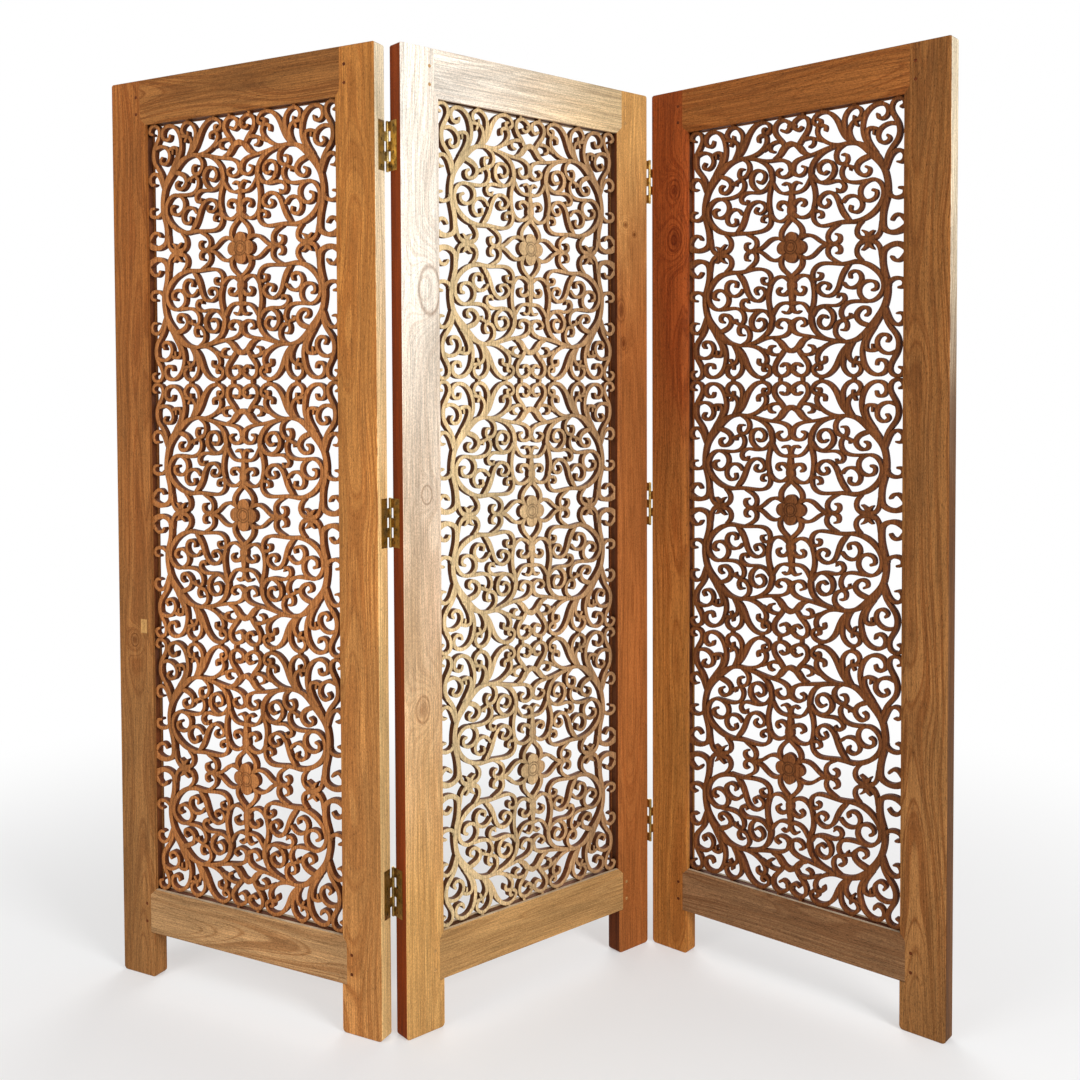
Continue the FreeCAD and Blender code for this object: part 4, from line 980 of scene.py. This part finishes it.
def dress_screen(boards):
    """Give every piece of the screen its material."""
    seed = 1
    for panel in PANELS.values():
        for piece in ("left_stile", "right_stile", "top_rail", "bottom_rail", "pegs"):
            node = f"{panel.body}_{piece}"
            material = teak(f"teak_{node}", panel, piece.endswith("stile"), node, seed)
            dress(frame["nodes"][node], material)
            seed += 1
        for board in BOARD_NAMES:
            node = f"{panel.body}_{board}_jali"
            dress(boards[node], teak(f"teak_{node}", panel, True, node, seed, carved=True))
            seed += 1
    metals = {name: aged_metal(name) for name in METALS}
    for name, node in frame["nodes"].items():
        if name.endswith("_screws"):
            dress(node, metals["dark_screw"])
        elif name == PALE_PIECE:
            dress(node, metals["pale_brass"])
        elif "hinge" in name:
            dress(node, metals["aged_brass"])


# Camera, floor and light.

# The floor, and how far out it turns from lit to plain white where it is looked at.
FLOOR_HALF = 9.0
FLOOR_CLEAR = 0.9
FLOOR_FADE = 2.4
NEAR_WHITE = 0.35
FLOOR_COLOUR = (0.86, 0.86, 0.86, 1.0)
WHITE = (1.0, 1.0, 1.0, 1.0)

# The world's strength, and the lamps with their power in watts, which all point at one place.
WORLD_STRENGTH = 0.45
LAMP_TARGET = (0.0, 0.0, 0.9)
LAMPS = {
    "key": dict(place=(2.6, -3.2, 2.3), size=(1.6, 1.8), power=118),
    "fill": dict(place=(-3.2, -2.6, 1.7), size=(2.2, 2.2), power=68),
    "back": dict(place=(0.4, 3.6, 2.4), size=(2.4, 2.0), power=60),
}


def make_camera():
    """The camera at the photograph's place, with its middle pixel shifted to match."""
    data = bpy.data.cameras.new("camera")
    data.sensor_width = SENSOR_WIDTH
    data.lens = SENSOR_WIDTH * FOCAL_PIXELS / FRAME_PIXELS
    data.shift_x = (FRAME_PIXELS / 2 - CENTRE_PIXEL[0]) / FRAME_PIXELS
    data.shift_y = -(FRAME_PIXELS / 2 - CENTRE_PIXEL[1]) / FRAME_PIXELS
    camera = bpy.data.objects.new("camera", data)
    bpy.context.scene.collection.objects.link(camera)
    tilt = Matrix.Rotation(math.radians(90 + CAMERA_PITCH_DEG), 4, "X")
    roll = Matrix.Rotation(math.radians(CAMERA_ROLL_DEG), 4, "Z")
    camera.matrix_world = Matrix.Translation(CAMERA_PLACE) @ tilt @ roll
    bpy.context.scene.camera = camera


def looked_at(tree):
    """1 for rays from the camera, a mirror or glass, and 0 for the light's own rays."""
    path = tree.nodes.new("ShaderNodeLightPath")
    seen = path.outputs["Is Camera Ray"]
    for ray in ("Is Glossy Ray", "Is Transmission Ray"):
        either = tree.nodes.new("ShaderNodeMath")
        either.operation = "MAXIMUM"
        tree.links.new(seen, either.inputs[0])
        tree.links.new(path.outputs[ray], either.inputs[1])
        seen = either.outputs[0]
    return seen


def seen_white(shader, lit):
    """Mix a lit surface with plain white where the camera or a mirror looks straight at it."""
    seen = looked_at(shader.tree)
    white = shader.make("ShaderNodeEmission", Color=WHITE, Strength=1.0)
    place = shader.make("ShaderNodeTexCoord", "Object")
    far = shader.vector("LENGTH", place, output=1)
    share = shader.rise(far, FLOOR_CLEAR, FLOOR_FADE, NEAR_WHITE, 1.0)
    mix = shader.tree.nodes.new("ShaderNodeMixShader")
    shader.put(mix.inputs[0], shader.math("MULTIPLY", seen, share))
    shader.put(mix.inputs[1], lit)
    shader.put(mix.inputs[2], white)
    shader.tree.links.new(mix.outputs[0], shader.output.inputs[0])


def make_floor():
    """The pale floor, which isn't part of the screen."""
    mesh = bpy.data.meshes.new("floor")
    corners = [(-FLOOR_HALF, -FLOOR_HALF, 0), (FLOOR_HALF, -FLOOR_HALF, 0),
               (FLOOR_HALF, FLOOR_HALF, 0), (-FLOOR_HALF, FLOOR_HALF, 0)]
    mesh.from_pydata(corners, [], [(0, 1, 2, 3)])
    floor = bpy.data.objects.new("floor", mesh)
    bpy.context.scene.collection.objects.link(floor)
    s = Shader("pale_floor")
    s.surface.inputs["Base Color"].default_value = FLOOR_COLOUR
    s.surface.inputs["Roughness"].default_value = 0.9
    s.surface.inputs["Specular IOR Level"].default_value = 0.2
    seen_white(s, s.surface.outputs[0])
    dress(floor, s.material)


def make_world():
    """A soft even light, which looks white to the camera and in mirrors."""
    world = bpy.data.worlds.new("world")
    bpy.context.scene.world = world
    world.use_nodes = True
    tree = world.node_tree
    tree.nodes.clear()
    output = tree.nodes.new("ShaderNodeOutputWorld")
    mix = tree.nodes.new("ShaderNodeMixShader")
    for number, strength in ((1, WORLD_STRENGTH), (2, 1.0)):
        sky = tree.nodes.new("ShaderNodeBackground")
        sky.inputs["Color"].default_value = WHITE
        sky.inputs["Strength"].default_value = strength
        tree.links.new(sky.outputs[0], mix.inputs[number])
    tree.links.new(looked_at(tree), mix.inputs[0])
    tree.links.new(mix.outputs[0], output.inputs[0])


def make_lamps():
    """Three soft rectangular lamps."""
    for name, lamp in LAMPS.items():
        data = bpy.data.lights.new(name, "AREA")
        data.shape = "RECTANGLE"
        data.size, data.size_y = lamp["size"]
        data.energy = lamp["power"]
        piece = bpy.data.objects.new(name, data)
        bpy.context.scene.collection.objects.link(piece)
        piece.location = lamp["place"]
        aim = Vector(LAMP_TARGET) - piece.location
        piece.rotation_euler = aim.to_track_quat("-Z", "Y").to_euler()


make_camera()
boards = make_boards()
dress_screen(boards)
make_floor()
make_world()
make_lamps()
bpy.context.scene.view_settings.view_transform = "Standard"
